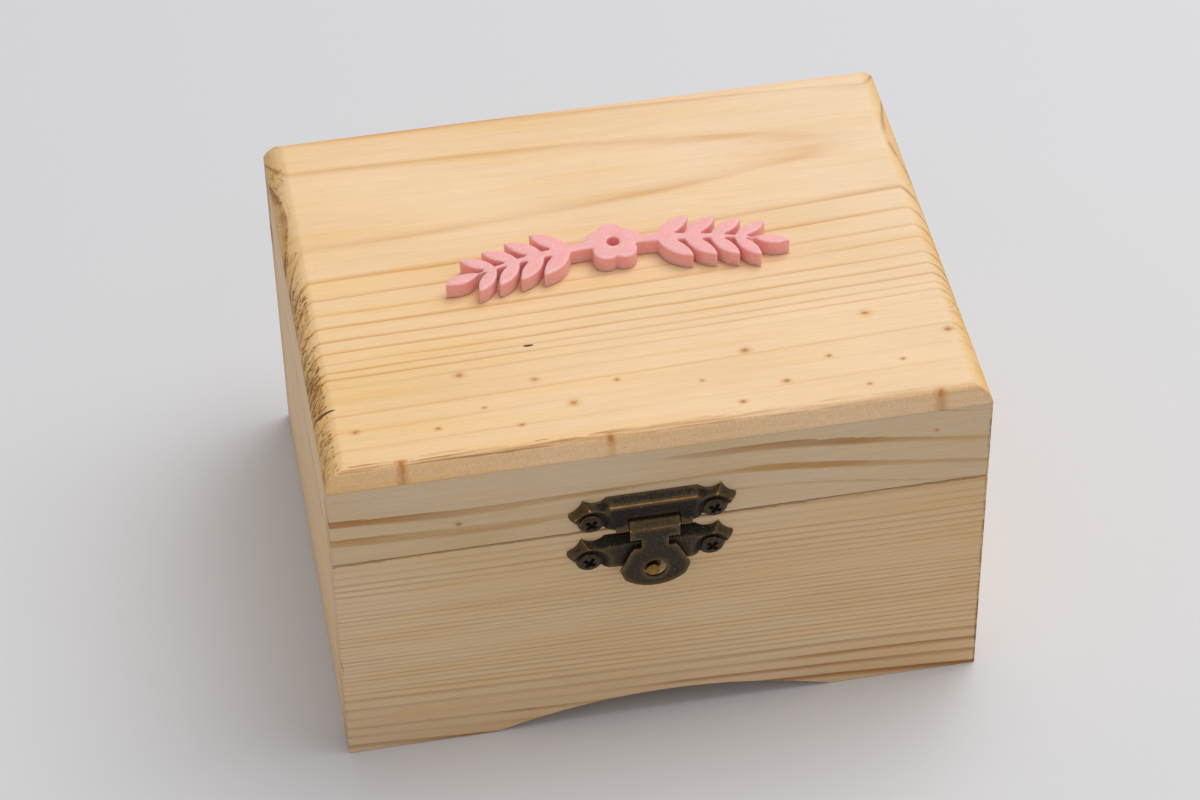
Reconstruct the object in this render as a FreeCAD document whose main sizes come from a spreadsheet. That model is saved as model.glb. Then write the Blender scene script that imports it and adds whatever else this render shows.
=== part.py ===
import FreeCAD, Part
import math
import os
import re
import Sketcher
from types import SimpleNamespace

# Small pine keepsake box: a carcass of four boards and a thin base, a hinged lid sawn from the
# same carcass, two butt hinges at the back, a stamped hasp at the front and a raised lid ornament.
# Millimetres. Origin under the middle of the box, +X right, +Y back, +Z up.

doc = FreeCAD.newDocument("keepsake_box")
vector = FreeCAD.Vector

# Driving dimensions: name, value and what it measures
DIMENSIONS = [
    ("width", 145, "box, left to right"),
    ("depth", 113, "box, front to back"),
    ("box_height", 60, "floor to the rim of the box"),
    ("wall", 8, "board thickness of the walls and lid rails"),
    ("arris", 0.3, "softened edge of every sawn board"),
    ("arch_span", 78, "foot arch in the front wall, at the floor"),
    ("arch_rise", 6.2, "foot arch, at its middle"),
    ("base_lift", 8, "floor to the underside of the base panel"),
    ("base_thickness", 3, "plywood base"),
    ("groove_depth", 3, "groove in the walls that holds the base"),
    ("groove_play", 0.1, "room round the base in its groove"),
    ("seam_gap", 0.3, "saw line between box and lid"),
    ("rail_height", 21.7, "lid rails"),
    ("top_thickness", 4.8, "lid board"),
    ("top_round", 4.5, "rounded edge of the lid board"),
    ("screw_play", 0.05, "radial room round a screw"),
    ("screw_core_radius", 0.95, "radius of a screw's shank"),
    ("screw_length", 6, "screw below the wood's face"),
    ("cross_width", 0.7, "arm of the driver recess"),
    ("cross_depth", 0.6, "driver recess"),
    ("hinge_inset", 30.5, "side of the box to the middle of a hinge"),
    ("hinge_length", 22, "hinge along its pin"),
    ("hinge_leaf", 13, "pin axis to the far edge of a leaf"),
    ("hinge_sheet", 1, "leaf thickness"),
    ("barrel_radius", 2, "hinge knuckle"),
    ("barrel_gap", 0.4, "knuckle to the wood behind it"),
    ("knuckle_gap", 0.2, "between neighbouring knuckles"),
    ("hinge_pin_radius", 1, "radius of the hinge pin"),
    ("pin_play", 0.05, "radial room round a pin"),
    ("pin_end_length", 0.5, "hinge pin past the last knuckle"),
    ("hinge_screw_spread", 14, "between the two screws of a leaf"),
    ("hinge_screw_drop", 8.2, "pin axis to the screws of a leaf"),
    ("hinge_screw_head", 1.9, "radius of a countersunk head"),
    ("latch_shift", -2.5, "middle of the box to the middle of the hasp"),
    ("catch_shift", -0.6, "middle of the hasp to the middle of its catch"),
    ("plate_width", 37, "hasp plates, tip to tip"),
    ("plate_height", 9.8, "hasp plates, lobe to top edge"),
    ("plate_rise", 2.2, "face of a hasp plate above the wood"),
    ("plate_slope_width", 1.7, "how far the raised face is drawn in at its top and ends"),
    ("plate_foot_width", 0.3, "how far it is drawn in at its lower edge"),
    ("lobe_floor", 0.8, "sheet under a screw head"),
    ("lobe_rim", 0.35, "sheet round a screw head"),
    ("catch_drop", 1.4, "rim of the box to the top of the catch plate"),
    ("latch_screw_head", 2.7, "radius of a pan head"),
    ("head_play", 0.65, "room round a pan head"),
    ("head_edge", 0.7, "straight side of a pan head"),
    ("head_crown", 0.7, "sloped crown of a pan head"),
    ("tongue_radius", 1.6, "rolled knuckle of the tongue"),
    ("tongue_gap", 0.3, "tongue knuckle to the wood and to the plate beside it"),
    ("tongue_bar", 11, "rolled knuckle, end to end"),
    ("tongue_lift", 1.7, "lower edge of the lid plate to the tongue pin"),
    ("tongue_sheet", 0.8, "sheet of the tongue"),
    ("tongue_clear", 0.5, "between the tongue and the catch plate"),
    ("tongue_drop", 17.8, "tongue pin to the foot of the tongue"),
    ("tongue_width", 15.7, "tongue at its widest"),
    ("tongue_neck", 6, "tongue at its neck"),
    ("window_room", 1, "slot in the lid plate above the knuckle"),
    ("tongue_pin_radius", 0.7, "radius of the tongue pin"),
    ("pin_hold", 2.2, "tongue pin inside each cheek"),
    ("cheek_wall", 0.45, "cheek round the tongue pin"),
    ("stud_reach", 12.6, "tongue pin to the stud"),
    ("stud_radius", 1.55, "stud head"),
    ("stud_root", 1.1, "stud through the catch plate"),
    ("stud_proud", 0.9, "stud past the tongue"),
    ("stud_play", 0.95, "room round the stud in the tongue"),
    ("stud_boss", 2.1, "radius of the catch plate round the stud"),
    ("ornament_length", 80, "lid ornament, end to end"),
    ("ornament_rise", 4, "ornament above the lid"),
    ("ornament_shift", 2, "middle of the lid to the ornament's stem, towards the back"),
    ("stem_width", 2.6, "ornament stem"),
    ("stem_bow_height", 5, "ornament stem, rise of its curve"),
    ("leaf_length", 11.5, "ornament leaf nearest the blossom"),
    ("leaf_width", 4.2, "ornament leaf nearest the blossom"),
    ("petal_radius", 2.9, "ornament blossom petal"),
    ("overrun", 1, "how far a cutting shape passes the face it cuts"),
]
sheet = doc.addObject("Spreadsheet::Sheet", "size")
for row, (alias, number, meaning) in enumerate(DIMENSIONS, start=1):
    sheet.set(f"A{row}", alias)
    sheet.set(f"B{row}", str(number))
    sheet.set(f"C{row}", meaning)
    sheet.setAlias(f"B{row}", alias)
doc.recompute()
size = SimpleNamespace(**{alias: float(getattr(sheet, alias)) for alias, _, _ in DIMENSIONS})

# Outline shares, chosen by hand
LOBE_PLACE_SHARE = 0.735
EAR_PLACE_SHARE = 0.83
EAR_DIP_SHARES = (0.68, 0.87)
TOP_EDGE_SHARE = 0.55
TIP_HEIGHT_SHARE = 0.64
BULGE_SHARES = (0.975, 0.4)
HOLLOW_SHARES = (0.9, 0.76)
PLATE_EDGE_SHARE = 0.14
BAR_END_SHARE = 0.18
NECK_END_SHARE = 0.335
SHOULDER_SHARES = (0.58, 0.335)
SHOULDER_CORNER_SHARES = (0.68, 0.39)
WIDEST_SHARE = 0.7
CORNER_SHARES = (0.87, 0.85)
KNUCKLE_WEB_SHARE = 0.6
CROSS_SHARE = 0.62
CROWN_SHARE = 0.72
STUD_CROWN_SHARE = 0.6
LEAF_PLACE_SHARES = (0.3, 0.49, 0.67, 0.84, 0.97)
LEAF_SHRINK_SHARE = 0.3
LEAF_LEAN = 42
PETALS = 5
PETAL_PLACE_SHARE = 1.2
BLOSSOM_EYE_SHARE = 0.5

# Places that several pieces share, as sums of the dimensions
FRONT = "(-depth / 2)"
BACK = "(depth / 2)"
SEAM = "(box_height + seam_gap)"
RAIL_TOP = f"({SEAM} + rail_height)"
LID_TOP = f"({RAIL_TOP} + top_thickness)"
HINGE_Y = f"({BACK} + barrel_gap + barrel_radius)"
HINGE_Z = "(box_height + seam_gap / 2)"
TONGUE_OUT = "(tongue_radius + tongue_gap)"
TONGUE_Z = f"({SEAM} + tongue_lift)"
CATCH_X = "(latch_shift + catch_shift)"
CATCH_BOTTOM = "(box_height - catch_drop - plate_height)"
STUD_Z = f"({TONGUE_Z} - stud_reach)"
LOBE_RADIUS = "(latch_screw_head + lobe_rim)"

UPRIGHT = FreeCAD.Rotation()
ALONG_X = FreeCAD.Rotation(vector(0, 1, 0), 90)
TO_FRONT = FreeCAD.Rotation(vector(1, 0, 0), 90)
TO_BACK = FreeCAD.Rotation(vector(1, 0, 0), -90)


def cell(word):
    return f"size.{word}" if hasattr(size, word) else word


def bound(expression):
    """The expression with every dimension's name turned into its cell of the sheet."""
    return re.sub(r"[a-z_]+", lambda word: cell(word.group()), expression)


def bind(item, place=None, **properties):
    for name, expression in properties.items():
        item.setExpression(name, bound(expression))
    for axis, expression in zip("xyz", place or ()):
        item.setExpression(f"Placement.Base.{axis}", bound(expression))
    return item


def solid(kind, label, place, turn=UPRIGHT, **properties):
    """A primitive with its sizes and place bound to the sheet."""
    item = doc.addObject(kind, label)
    item.Label = label
    item.Placement.Rotation = turn
    return bind(item, place, **properties)


def block(label, x, y, z, length, width, height, turn=UPRIGHT):
    return solid("Part::Box", label, (x, y, z), turn, Length=length, Width=width, Height=height)


def rod(label, x, y, z, radius, height, turn=UPRIGHT):
    return solid("Part::Cylinder", label, (x, y, z), turn, Radius=radius, Height=height)


def cone(label, x, y, z, low, high, height, turn=UPRIGHT):
    return solid("Part::Cone", label, (x, y, z), turn, Radius1=low, Radius2=high, Height=height)


def joined(label, items):
    item = doc.addObject("Part::MultiFuse", label)
    item.Label = label
    item.Shapes = items
    return item


def cut(label, base, tools):
    item = doc.addObject("Part::Cut", label)
    item.Label = label
    item.Base = base
    item.Tool = tools[0] if len(tools) == 1 else joined(f"{label}_cuts", tools)
    return item


def group(label, items):
    item = doc.addObject("Part::Compound", label)
    item.Label = label
    item.Links = items
    return item


def shaped(label, shape):
    """A piece whose outline neither a body nor a primitive gives."""
    item = doc.addObject("Part::Feature", label)
    item.Label = label
    item.Shape = shape
    return item


def board(label, x, y, z, length, width, height, rounded=None):
    """A sawn board: a padded rectangle with softened edges, or a rounded upper edge."""
    body = doc.addObject("PartDesign::Body", label)
    body.Label = label
    sketch = body.newObject("Sketcher::SketchObject", f"{label}_sketch")
    plane = next(item for item in body.Origin.OriginFeatures if item.Role == "XY_Plane")
    sketch.AttachmentSupport = (plane, [""])
    sketch.MapMode = "FlatFace"
    corners = [vector(0, 0), vector(size.width, 0), vector(size.width, size.depth), vector(0, size.depth)]
    for start, end in zip(corners, corners[1:] + corners[:1]):
        sketch.addGeometry(Part.LineSegment(start, end))
    for side in range(4):
        sketch.addConstraint(Sketcher.Constraint("Coincident", side, 2, (side + 1) % 4, 1))
    for side in (0, 2):
        sketch.addConstraint(Sketcher.Constraint("Horizontal", side))
    for side in (1, 3):
        sketch.addConstraint(Sketcher.Constraint("Vertical", side))
    sketch.addConstraint(Sketcher.Constraint("Coincident", 0, 1, -1, 1))
    for name, side, span in (("length", 0, length), ("width", 1, width)):
        index = sketch.addConstraint(Sketcher.Constraint("Distance", side, size.width))
        sketch.renameConstraint(index, name)
        sketch.setExpression(f"Constraints.{name}", bound(span))
    pad = body.newObject("PartDesign::Pad", f"{label}_pad")
    pad.Profile = sketch
    bind(pad, Length=height)
    doc.recompute()
    fillet = body.newObject("PartDesign::Fillet", f"{label}_edges")
    if rounded:
        top = max(range(6), key=lambda index: pad.Shape.Faces[index].CenterOfMass.z)
        fillet.Base = (pad, [f"Face{top + 1}"])
    else:
        fillet.Base = (pad, [f"Edge{index + 1}" for index in range(12)])
    bind(fillet, Radius=rounded or "arris")
    body.Tip = fillet
    return bind(body, (x, y, z))


def wire(start, *steps):
    """A closed outline: a step of one point is a line, a step of two is an arc through the first."""
    edges = []
    here = vector(*start)
    for step in steps:
        points = [here] + [vector(*point) for point in step]
        edge = Part.LineSegment(*points) if len(points) == 2 else Part.Arc(*points)
        edges.append(edge.toShape())
        here = points[-1]
    return Part.Wire(edges)


# Walls of the box. Front and back run the full width, the sides stand between them.
INNER_X = "(width / 2 - wall)"
INNER_Y = "(depth / 2 - wall)"
SIDE_LENGTH = "(depth - 2 * wall)"
GROOVE_X = f"({INNER_X} + groove_depth)"
GROOVE_HEIGHT = "(base_thickness + groove_play)"
ARCH_RADIUS = "((arch_span * arch_span / 4 + arch_rise * arch_rise) / (2 * arch_rise))"


def pilot_hole(label, x, z, face, turn):
    return rod(label, x, face, z, "screw_core_radius + screw_play", "screw_length + screw_play", turn)


LID_SCREW_XS, CATCH_SCREW_XS = [
    [f"({middle} + {side} * {LOBE_PLACE_SHARE} * plate_width / 2)" for side in (-1, 1)]
    for middle in ("latch_shift", CATCH_X)
]
LID_SCREW_Z = f"({SEAM} + {LOBE_RADIUS})"
CATCH_SCREW_Z = f"({CATCH_BOTTOM} + {LOBE_RADIUS})"
HINGES = {"left": "(hinge_inset - width / 2)", "right": "(width / 2 - hinge_inset)"}
HINGE_SCREW_XS = [
    f"({middle} + {side} * hinge_screw_spread / 2)" for middle in HINGES.values() for side in (-1, 1)
]
BOX_HINGE_SCREW_Z = f"({HINGE_Z} - hinge_screw_drop)"
LID_HINGE_SCREW_Z = f"({HINGE_Z} + hinge_screw_drop)"

front_board = board("front_board", "-width / 2", FRONT, "0", "width", "wall", "box_height")
arch = rod(
    "foot_arch", "0", f"{FRONT} - overrun", f"arch_rise - {ARCH_RADIUS}",
    ARCH_RADIUS, "wall + 2 * overrun", TO_BACK,
)
front_groove = block(
    "front_groove", f"-{GROOVE_X}", f"-{INNER_Y} - groove_depth", "base_lift",
    f"2 * {GROOVE_X}", "groove_depth + overrun", GROOVE_HEIGHT,
)
front_holes = [
    pilot_hole(f"front_pilot_{index}", x, CATCH_SCREW_Z, FRONT, TO_BACK)
    for index, x in enumerate(CATCH_SCREW_XS)
]
front_wall = cut("front_wall", front_board, [arch, front_groove] + front_holes)

back_board = board("back_board", "-width / 2", INNER_Y, "0", "width", "wall", "box_height")
back_groove = block(
    "back_groove", f"-{GROOVE_X}", f"{INNER_Y} - overrun", "base_lift",
    f"2 * {GROOVE_X}", "groove_depth + overrun", GROOVE_HEIGHT,
)
back_holes = [
    pilot_hole(f"back_pilot_{index}", x, BOX_HINGE_SCREW_Z, BACK, TO_FRONT)
    for index, x in enumerate(HINGE_SCREW_XS)
]
back_wall = cut("back_wall", back_board, [back_groove] + back_holes)

side_walls = []
for name, board_x, groove_x in (
    ("left", "-width / 2", f"-{GROOVE_X}"),
    ("right", INNER_X, f"{INNER_X} - overrun"),
):
    side_board = board(f"{name}_board", board_x, f"-{INNER_Y}", "0", "wall", SIDE_LENGTH, "box_height")
    side_groove = block(
        f"{name}_groove", groove_x, f"-{INNER_Y} - overrun", "base_lift",
        "groove_depth + overrun", f"{SIDE_LENGTH} + 2 * overrun", GROOVE_HEIGHT,
    )
    side_walls.append(cut(f"{name}_wall", side_board, [side_groove]))

# Thin base, held in the grooves of all four walls
base_panel = board(
    "base_panel", f"-({GROOVE_X} - groove_play)", f"-({INNER_Y} + groove_depth - groove_play)", "base_lift",
    f"2 * ({GROOVE_X} - groove_play)", f"2 * ({INNER_Y} + groove_depth - groove_play)", "base_thickness",
)

# Lid: four rails under a board with a rounded upper edge
lid_front_board = board("lid_front_board", "-width / 2", FRONT, SEAM, "width", "wall", "rail_height")
lid_front_holes = [
    pilot_hole(f"lid_front_pilot_{index}", x, LID_SCREW_Z, FRONT, TO_BACK)
    for index, x in enumerate(LID_SCREW_XS)
]
lid_front_rail = cut("lid_front_rail", lid_front_board, lid_front_holes)
lid_back_board = board("lid_back_board", "-width / 2", INNER_Y, SEAM, "width", "wall", "rail_height")
lid_back_holes = [
    pilot_hole(f"lid_back_pilot_{index}", x, LID_HINGE_SCREW_Z, BACK, TO_FRONT)
    for index, x in enumerate(HINGE_SCREW_XS)
]
lid_back_rail = cut("lid_back_rail", lid_back_board, lid_back_holes)
lid_side_rails = [
    board(f"lid_{name}_rail", x, f"-{INNER_Y}", SEAM, "wall", SIDE_LENGTH, "rail_height")
    for name, x in (("left", "-width / 2"), ("right", INNER_X))
]
lid_top_board = board(
    "lid_top_board", "-width / 2", FRONT, RAIL_TOP, "width", "depth", "top_thickness",
    rounded="min(top_round; top_thickness - arris)",
)


# Screws: a countersunk one in a hinge leaf, and a pan head in a lobe of a hasp plate
def driver_recess(label, x, y, z, head):
    arm = f"({CROSS_SHARE} * {head})"
    narrow = "cross_width / 2"
    depth = "(cross_depth + overrun)"
    return [
        block(f"{label}_across", f"{x} - {arm}", y, f"{z} - {narrow}", f"2 * {arm}", depth, "cross_width"),
        block(f"{label}_upright", f"{x} - {narrow}", y, f"{z} - {arm}", "cross_width", depth, f"2 * {arm}"),
    ]


def countersunk_screw(label, x, z):
    root = f"{BACK} - screw_length"
    shank = rod(f"{label}_shank", x, root, z, "screw_core_radius", "screw_length", TO_BACK)
    head = cone(f"{label}_head", x, BACK, z, "screw_core_radius", "hinge_screw_head", "hinge_sheet", TO_BACK)
    recess = driver_recess(label, x, f"{BACK} + hinge_sheet - cross_depth", z, "hinge_screw_head")
    return cut(label, joined(f"{label}_blank", [shank, head]), recess)


def pan_screw(label, x, z):
    seat = f"({FRONT} - lobe_floor)"
    crown_seat = f"({seat} - head_edge)"
    face = f"({crown_seat} - head_crown)"
    shank = rod(f"{label}_shank", x, seat, z, "screw_core_radius", "lobe_floor + screw_length", TO_BACK)
    head = rod(f"{label}_head", x, seat, z, "latch_screw_head", "head_edge", TO_FRONT)
    crown = cone(
        f"{label}_crown", x, crown_seat, z,
        "latch_screw_head", f"{CROWN_SHARE} * latch_screw_head", "head_crown", TO_FRONT,
    )
    recess = driver_recess(label, x, f"{face} - overrun", z, "latch_screw_head")
    return cut(label, joined(f"{label}_blank", [shank, head, crown]), recess)


# Butt hinges on the outside of the back, their pins on the saw line
KNUCKLE_LENGTH = "((hinge_length - 2 * knuckle_gap) / 3)"
LEAF_NOTCH = "(barrel_radius + barrel_gap)"
KNUCKLE_WEB = f"({KNUCKLE_WEB_SHARE} * barrel_radius)"


def hinge_leaf(label, middle, upward, knuckles):
    """A flat leaf, cut back from the pin except where its own knuckles are rolled."""
    start = f"({middle} - hinge_length / 2)"
    low = f"{HINGE_Z} + {LEAF_NOTCH}" if upward else f"{HINGE_Z} - hinge_leaf"
    flat = f"hinge_leaf - {LEAF_NOTCH}"
    items = [block(f"{label}_plate", start, BACK, low, "hinge_length", "hinge_sheet", flat)]
    for index in knuckles:
        x = f"({start} + {index} * ({KNUCKLE_LENGTH} + knuckle_gap))"
        tab_low = HINGE_Z if upward else f"{HINGE_Z} - {LEAF_NOTCH}"
        web_low = HINGE_Z if upward else f"{HINGE_Z} - {KNUCKLE_WEB}"
        items += [
            block(f"{label}_tab_{index}", x, BACK, tab_low, KNUCKLE_LENGTH, "hinge_sheet", LEAF_NOTCH),
            block(f"{label}_web_{index}", x, BACK, web_low, KNUCKLE_LENGTH, LEAF_NOTCH, KNUCKLE_WEB),
            rod(f"{label}_roll_{index}", x, HINGE_Y, HINGE_Z, "barrel_radius", KNUCKLE_LENGTH, ALONG_X),
        ]
    screw_z = LID_HINGE_SCREW_Z if upward else BOX_HINGE_SCREW_Z
    cuts = [
        rod(
            f"{label}_bore", f"{start} - overrun", HINGE_Y, HINGE_Z,
            "hinge_pin_radius + pin_play", "hinge_length + 2 * overrun", ALONG_X,
        )
    ]
    for side in (-1, 1):
        x = f"({middle} + {side} * hinge_screw_spread / 2)"
        cuts.append(cone(
            f"{label}_sink_{side + 1}", x, BACK, screw_z,
            "screw_core_radius + screw_play", "hinge_screw_head + screw_play", "hinge_sheet", TO_BACK,
        ))
    return cut(label, joined(f"{label}_blank", items), cuts)


hinge_pieces = []
for name, middle in HINGES.items():
    hinge_pieces += [
        hinge_leaf(f"hinge_{name}_box_leaf", middle, False, (0, 2)),
        hinge_leaf(f"hinge_{name}_lid_leaf", middle, True, (1,)),
        rod(
            f"hinge_{name}_pin", f"{middle} - hinge_length / 2 - pin_end_length", HINGE_Y, HINGE_Z,
            "hinge_pin_radius", "hinge_length + 2 * pin_end_length", ALONG_X,
        ),
    ]
hinge_box_screws = group("hinge_box_screws", [
    countersunk_screw(f"hinge_box_screw_{index}", x, BOX_HINGE_SCREW_Z)
    for index, x in enumerate(HINGE_SCREW_XS)
])
hinge_lid_screws = group("hinge_lid_screws", [
    countersunk_screw(f"hinge_lid_screw_{index}", x, LID_HINGE_SCREW_Z)
    for index, x in enumerate(HINGE_SCREW_XS)
])


# Stamped hasp plates: an ornamental outline drawn in towards a raised face
def plate_wire(inset, foot_inset, out):
    half = size.plate_width / 2 - inset
    tall = size.plate_height - inset - foot_inset
    lobe_middle = LOBE_PLACE_SHARE * size.plate_width / 2
    lobe_height = size.latch_screw_head + size.lobe_rim
    lobe = lobe_height - foot_inset

    def height(share):
        return foot_inset + share * tall

    edge = height(PLATE_EDGE_SHARE)
    lobe_start = lobe_middle - math.sqrt(lobe ** 2 - (lobe_height - edge) ** 2)
    right = [
        (lobe_start, edge),
        (lobe_middle, lobe_height - lobe),
        (lobe_middle + lobe, lobe_height),
        (BULGE_SHARES[0] * half, height(BULGE_SHARES[1])),
        (half, height(TIP_HEIGHT_SHARE)),
        (HOLLOW_SHARES[0] * half, height(HOLLOW_SHARES[1])),
        (EAR_PLACE_SHARE * half, height(1)),
        (EAR_DIP_SHARES[0] * half, height(EAR_DIP_SHARES[1])),
        (TOP_EDGE_SHARE * half, height(1)),
    ]
    start, low, side, bulge, tip, hollow, ear, dip, edge_end = [(u, -out, v) for u, v in right]
    start_l, low_l, side_l, bulge_l, tip_l, hollow_l, ear_l, dip_l, edge_end_l = [
        (-u, -out, v) for u, v in right
    ]
    return wire(
        start_l, (start,), (low, side), (bulge, tip), (hollow, ear), (dip, edge_end), (edge_end_l,),
        (dip_l, ear_l), (hollow_l, tip_l), (bulge_l, side_l), (low_l, start_l),
    )


def stamped_plate(label, x, z):
    faces = [plate_wire(0, 0, 0), plate_wire(size.plate_slope_width, size.plate_foot_width, size.plate_rise)]
    return bind(shaped(label, Part.makeLoft(faces, True, True)), (x, FRONT, z))


def screw_seats(label, places, z):
    seats = []
    for index, x in enumerate(places):
        seats += [
            rod(
                f"{label}_recess_{index}", x, f"{FRONT} - lobe_floor", z,
                "latch_screw_head + head_play", "plate_rise + overrun", TO_FRONT,
            ),
            rod(
                f"{label}_hole_{index}", x, f"{FRONT} + overrun", z,
                "screw_core_radius + screw_play", "lobe_floor + 2 * overrun", TO_FRONT,
            ),
        ]
    return seats


# Lid half of the hasp: its plate has a slot for the tongue's knuckle, with a cheek each side for the pin
WINDOW_HALF = "(tongue_bar / 2 + tongue_gap)"
CHEEK_RADIUS = "(tongue_pin_radius + pin_play + cheek_wall)"
CHEEK_LENGTH = "(pin_hold + cheek_wall)"
TONGUE_Y = f"({FRONT} - {TONGUE_OUT})"
WINDOW_FACE = f"({FRONT} - plate_rise)"
WINDOW_HEIGHT = "(tongue_lift + tongue_radius + window_room)"
lid_plate_items = [stamped_plate("lid_plate_stamping", "latch_shift", SEAM)]
for name, x in (
    ("left", f"latch_shift - {WINDOW_HALF} - {CHEEK_LENGTH}"),
    ("right", f"latch_shift + {WINDOW_HALF}"),
):
    lid_plate_items += [
        rod(f"lid_plate_{name}_cheek", x, TONGUE_Y, TONGUE_Z, CHEEK_RADIUS, CHEEK_LENGTH, ALONG_X),
        block(
            f"lid_plate_{name}_post", x, TONGUE_Y, f"{TONGUE_Z} - {CHEEK_RADIUS}",
            CHEEK_LENGTH, TONGUE_OUT, f"2 * {CHEEK_RADIUS}",
        ),
    ]
lid_plate_cuts = [
    block(
        "lid_plate_window", f"latch_shift - {WINDOW_HALF}", f"{WINDOW_FACE} - overrun", f"{SEAM} - overrun",
        f"2 * {WINDOW_HALF}", "plate_rise + 2 * overrun", f"{WINDOW_HEIGHT} + overrun",
    ),
    rod(
        "lid_plate_bore", f"latch_shift - {WINDOW_HALF} - pin_hold", TONGUE_Y, TONGUE_Z,
        "tongue_pin_radius + pin_play", f"2 * ({WINDOW_HALF} + pin_hold)", ALONG_X,
    ),
] + screw_seats("lid_plate", LID_SCREW_XS, LID_SCREW_Z)
latch_lid_plate = cut("latch_lid_plate", joined("lid_plate_blank", lid_plate_items), lid_plate_cuts)
latch_pin = rod(
    "latch_pin", f"latch_shift - {WINDOW_HALF} - pin_hold + pin_play", TONGUE_Y, TONGUE_Z,
    "tongue_pin_radius", f"2 * ({WINDOW_HALF} + pin_hold - pin_play)", ALONG_X,
)
latch_lid_screws = group("latch_lid_screws", [
    pan_screw(f"latch_lid_screw_{index}", x, LID_SCREW_Z)
    for index, x in enumerate(LID_SCREW_XS)
])


# Tongue: a fan of sheet on a narrow neck, rolled round its pin, with a hole that drops over the stud
def tongue_sheet():
    half = size.tongue_width / 2
    neck = size.tongue_neck / 2
    bar = size.tongue_bar / 2
    drop = size.tongue_drop
    right = [
        (bar, 0),
        (bar, -BAR_END_SHARE * drop),
        (neck, -BAR_END_SHARE * drop),
        (neck, -NECK_END_SHARE * drop),
        (SHOULDER_SHARES[0] * half, -SHOULDER_SHARES[1] * drop),
        (SHOULDER_CORNER_SHARES[0] * half, -SHOULDER_CORNER_SHARES[1] * drop),
        (half, -WIDEST_SHARE * drop),
        (CORNER_SHARES[0] * half, -CORNER_SHARES[1] * drop),
    ]
    left = [(-u, v) for u, v in reversed(right)]
    foot = (0, 0, -drop)
    corners = [(u, 0, v) for u, v in right + left]
    before_foot, after_foot = corners[1:len(right)], corners[len(right):]
    outline = wire(
        corners[0], *[(corner,) for corner in before_foot], (foot, after_foot[0]),
        *[(corner,) for corner in after_foot[1:]], (corners[0],),
    )
    return Part.Face(outline).extrude(vector(0, -size.tongue_sheet, 0))


TONGUE_BACK = f"({FRONT} - plate_rise - tongue_clear)"
TONGUE_FACE = f"({TONGUE_BACK} - tongue_sheet)"
tongue_items = [
    bind(shaped("tongue_fan", tongue_sheet()), ("latch_shift", TONGUE_BACK, TONGUE_Z)),
    rod(
        "tongue_roll", "latch_shift - tongue_bar / 2", TONGUE_Y, TONGUE_Z,
        "tongue_radius", "tongue_bar", ALONG_X,
    ),
    block(
        "tongue_web", "latch_shift - tongue_bar / 2", TONGUE_FACE, f"{TONGUE_Z} - tongue_radius",
        "tongue_bar", f"{TONGUE_Y} - {TONGUE_FACE}", "tongue_radius",
    ),
]
tongue_cuts = [
    rod(
        "tongue_bore", "latch_shift - tongue_bar / 2 - overrun", TONGUE_Y, TONGUE_Z,
        "tongue_pin_radius + pin_play", "tongue_bar + 2 * overrun", ALONG_X,
    ),
    rod(
        "tongue_hole", "latch_shift", f"{TONGUE_BACK} + overrun", STUD_Z,
        "stud_radius + stud_play", "tongue_sheet + 2 * overrun", TO_FRONT,
    ),
]
latch_tongue = cut("latch_tongue", joined("tongue_blank", tongue_items), tongue_cuts)

# Catch half of the hasp, with a riveted stud on a boss below its plate
catch_items = [
    stamped_plate("catch_stamping", CATCH_X, CATCH_BOTTOM),
    rod("catch_boss", CATCH_X, FRONT, STUD_Z, "stud_boss", "plate_rise", TO_FRONT),
    block(
        "catch_boss_web", f"{CATCH_X} - stud_boss", f"{FRONT} - plate_rise", STUD_Z,
        "2 * stud_boss", "plate_rise", f"{CATCH_BOTTOM} + plate_height / 2 - {STUD_Z}",
    ),
]
catch_cuts = [
    rod(
        "catch_rivet_hole", CATCH_X, f"{FRONT} + overrun", STUD_Z,
        "stud_root + screw_play", "plate_rise + 2 * overrun", TO_FRONT,
    )
] + screw_seats("catch", CATCH_SCREW_XS, CATCH_SCREW_Z)
latch_catch_plate = cut("latch_catch_plate", joined("catch_blank", catch_items), catch_cuts)
STUD_CROWN = f"({STUD_CROWN_SHARE} * stud_proud)"
STUD_HEAD = f"(tongue_clear + tongue_sheet + stud_proud - {STUD_CROWN})"
latch_catch_stud = joined("latch_catch_stud", [
    rod("stud_rivet", CATCH_X, FRONT, STUD_Z, "stud_root", "plate_rise", TO_FRONT),
    rod("stud_head", CATCH_X, f"{FRONT} - plate_rise", STUD_Z, "stud_radius", STUD_HEAD, TO_FRONT),
    cone(
        "stud_crown", CATCH_X, f"{FRONT} - plate_rise - {STUD_HEAD}", STUD_Z,
        "stud_radius", f"{STUD_CROWN_SHARE} * stud_radius", STUD_CROWN, TO_FRONT,
    ),
])
latch_catch_screws = group("latch_catch_screws", [
    pan_screw(f"latch_catch_screw_{index}", x, CATCH_SCREW_Z)
    for index, x in enumerate(CATCH_SCREW_XS)
])


# Lid ornament: a leafy sprig with a blossom at its middle, one flat piece glued to the lid
def pointed(length, width):
    """A pointed oval from the origin along X."""
    half = width / 2
    return wire((0, 0, 0), ((length / 2, half, 0), (length, 0, 0)), ((length / 2, -half, 0), (0, 0, 0)))


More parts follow.
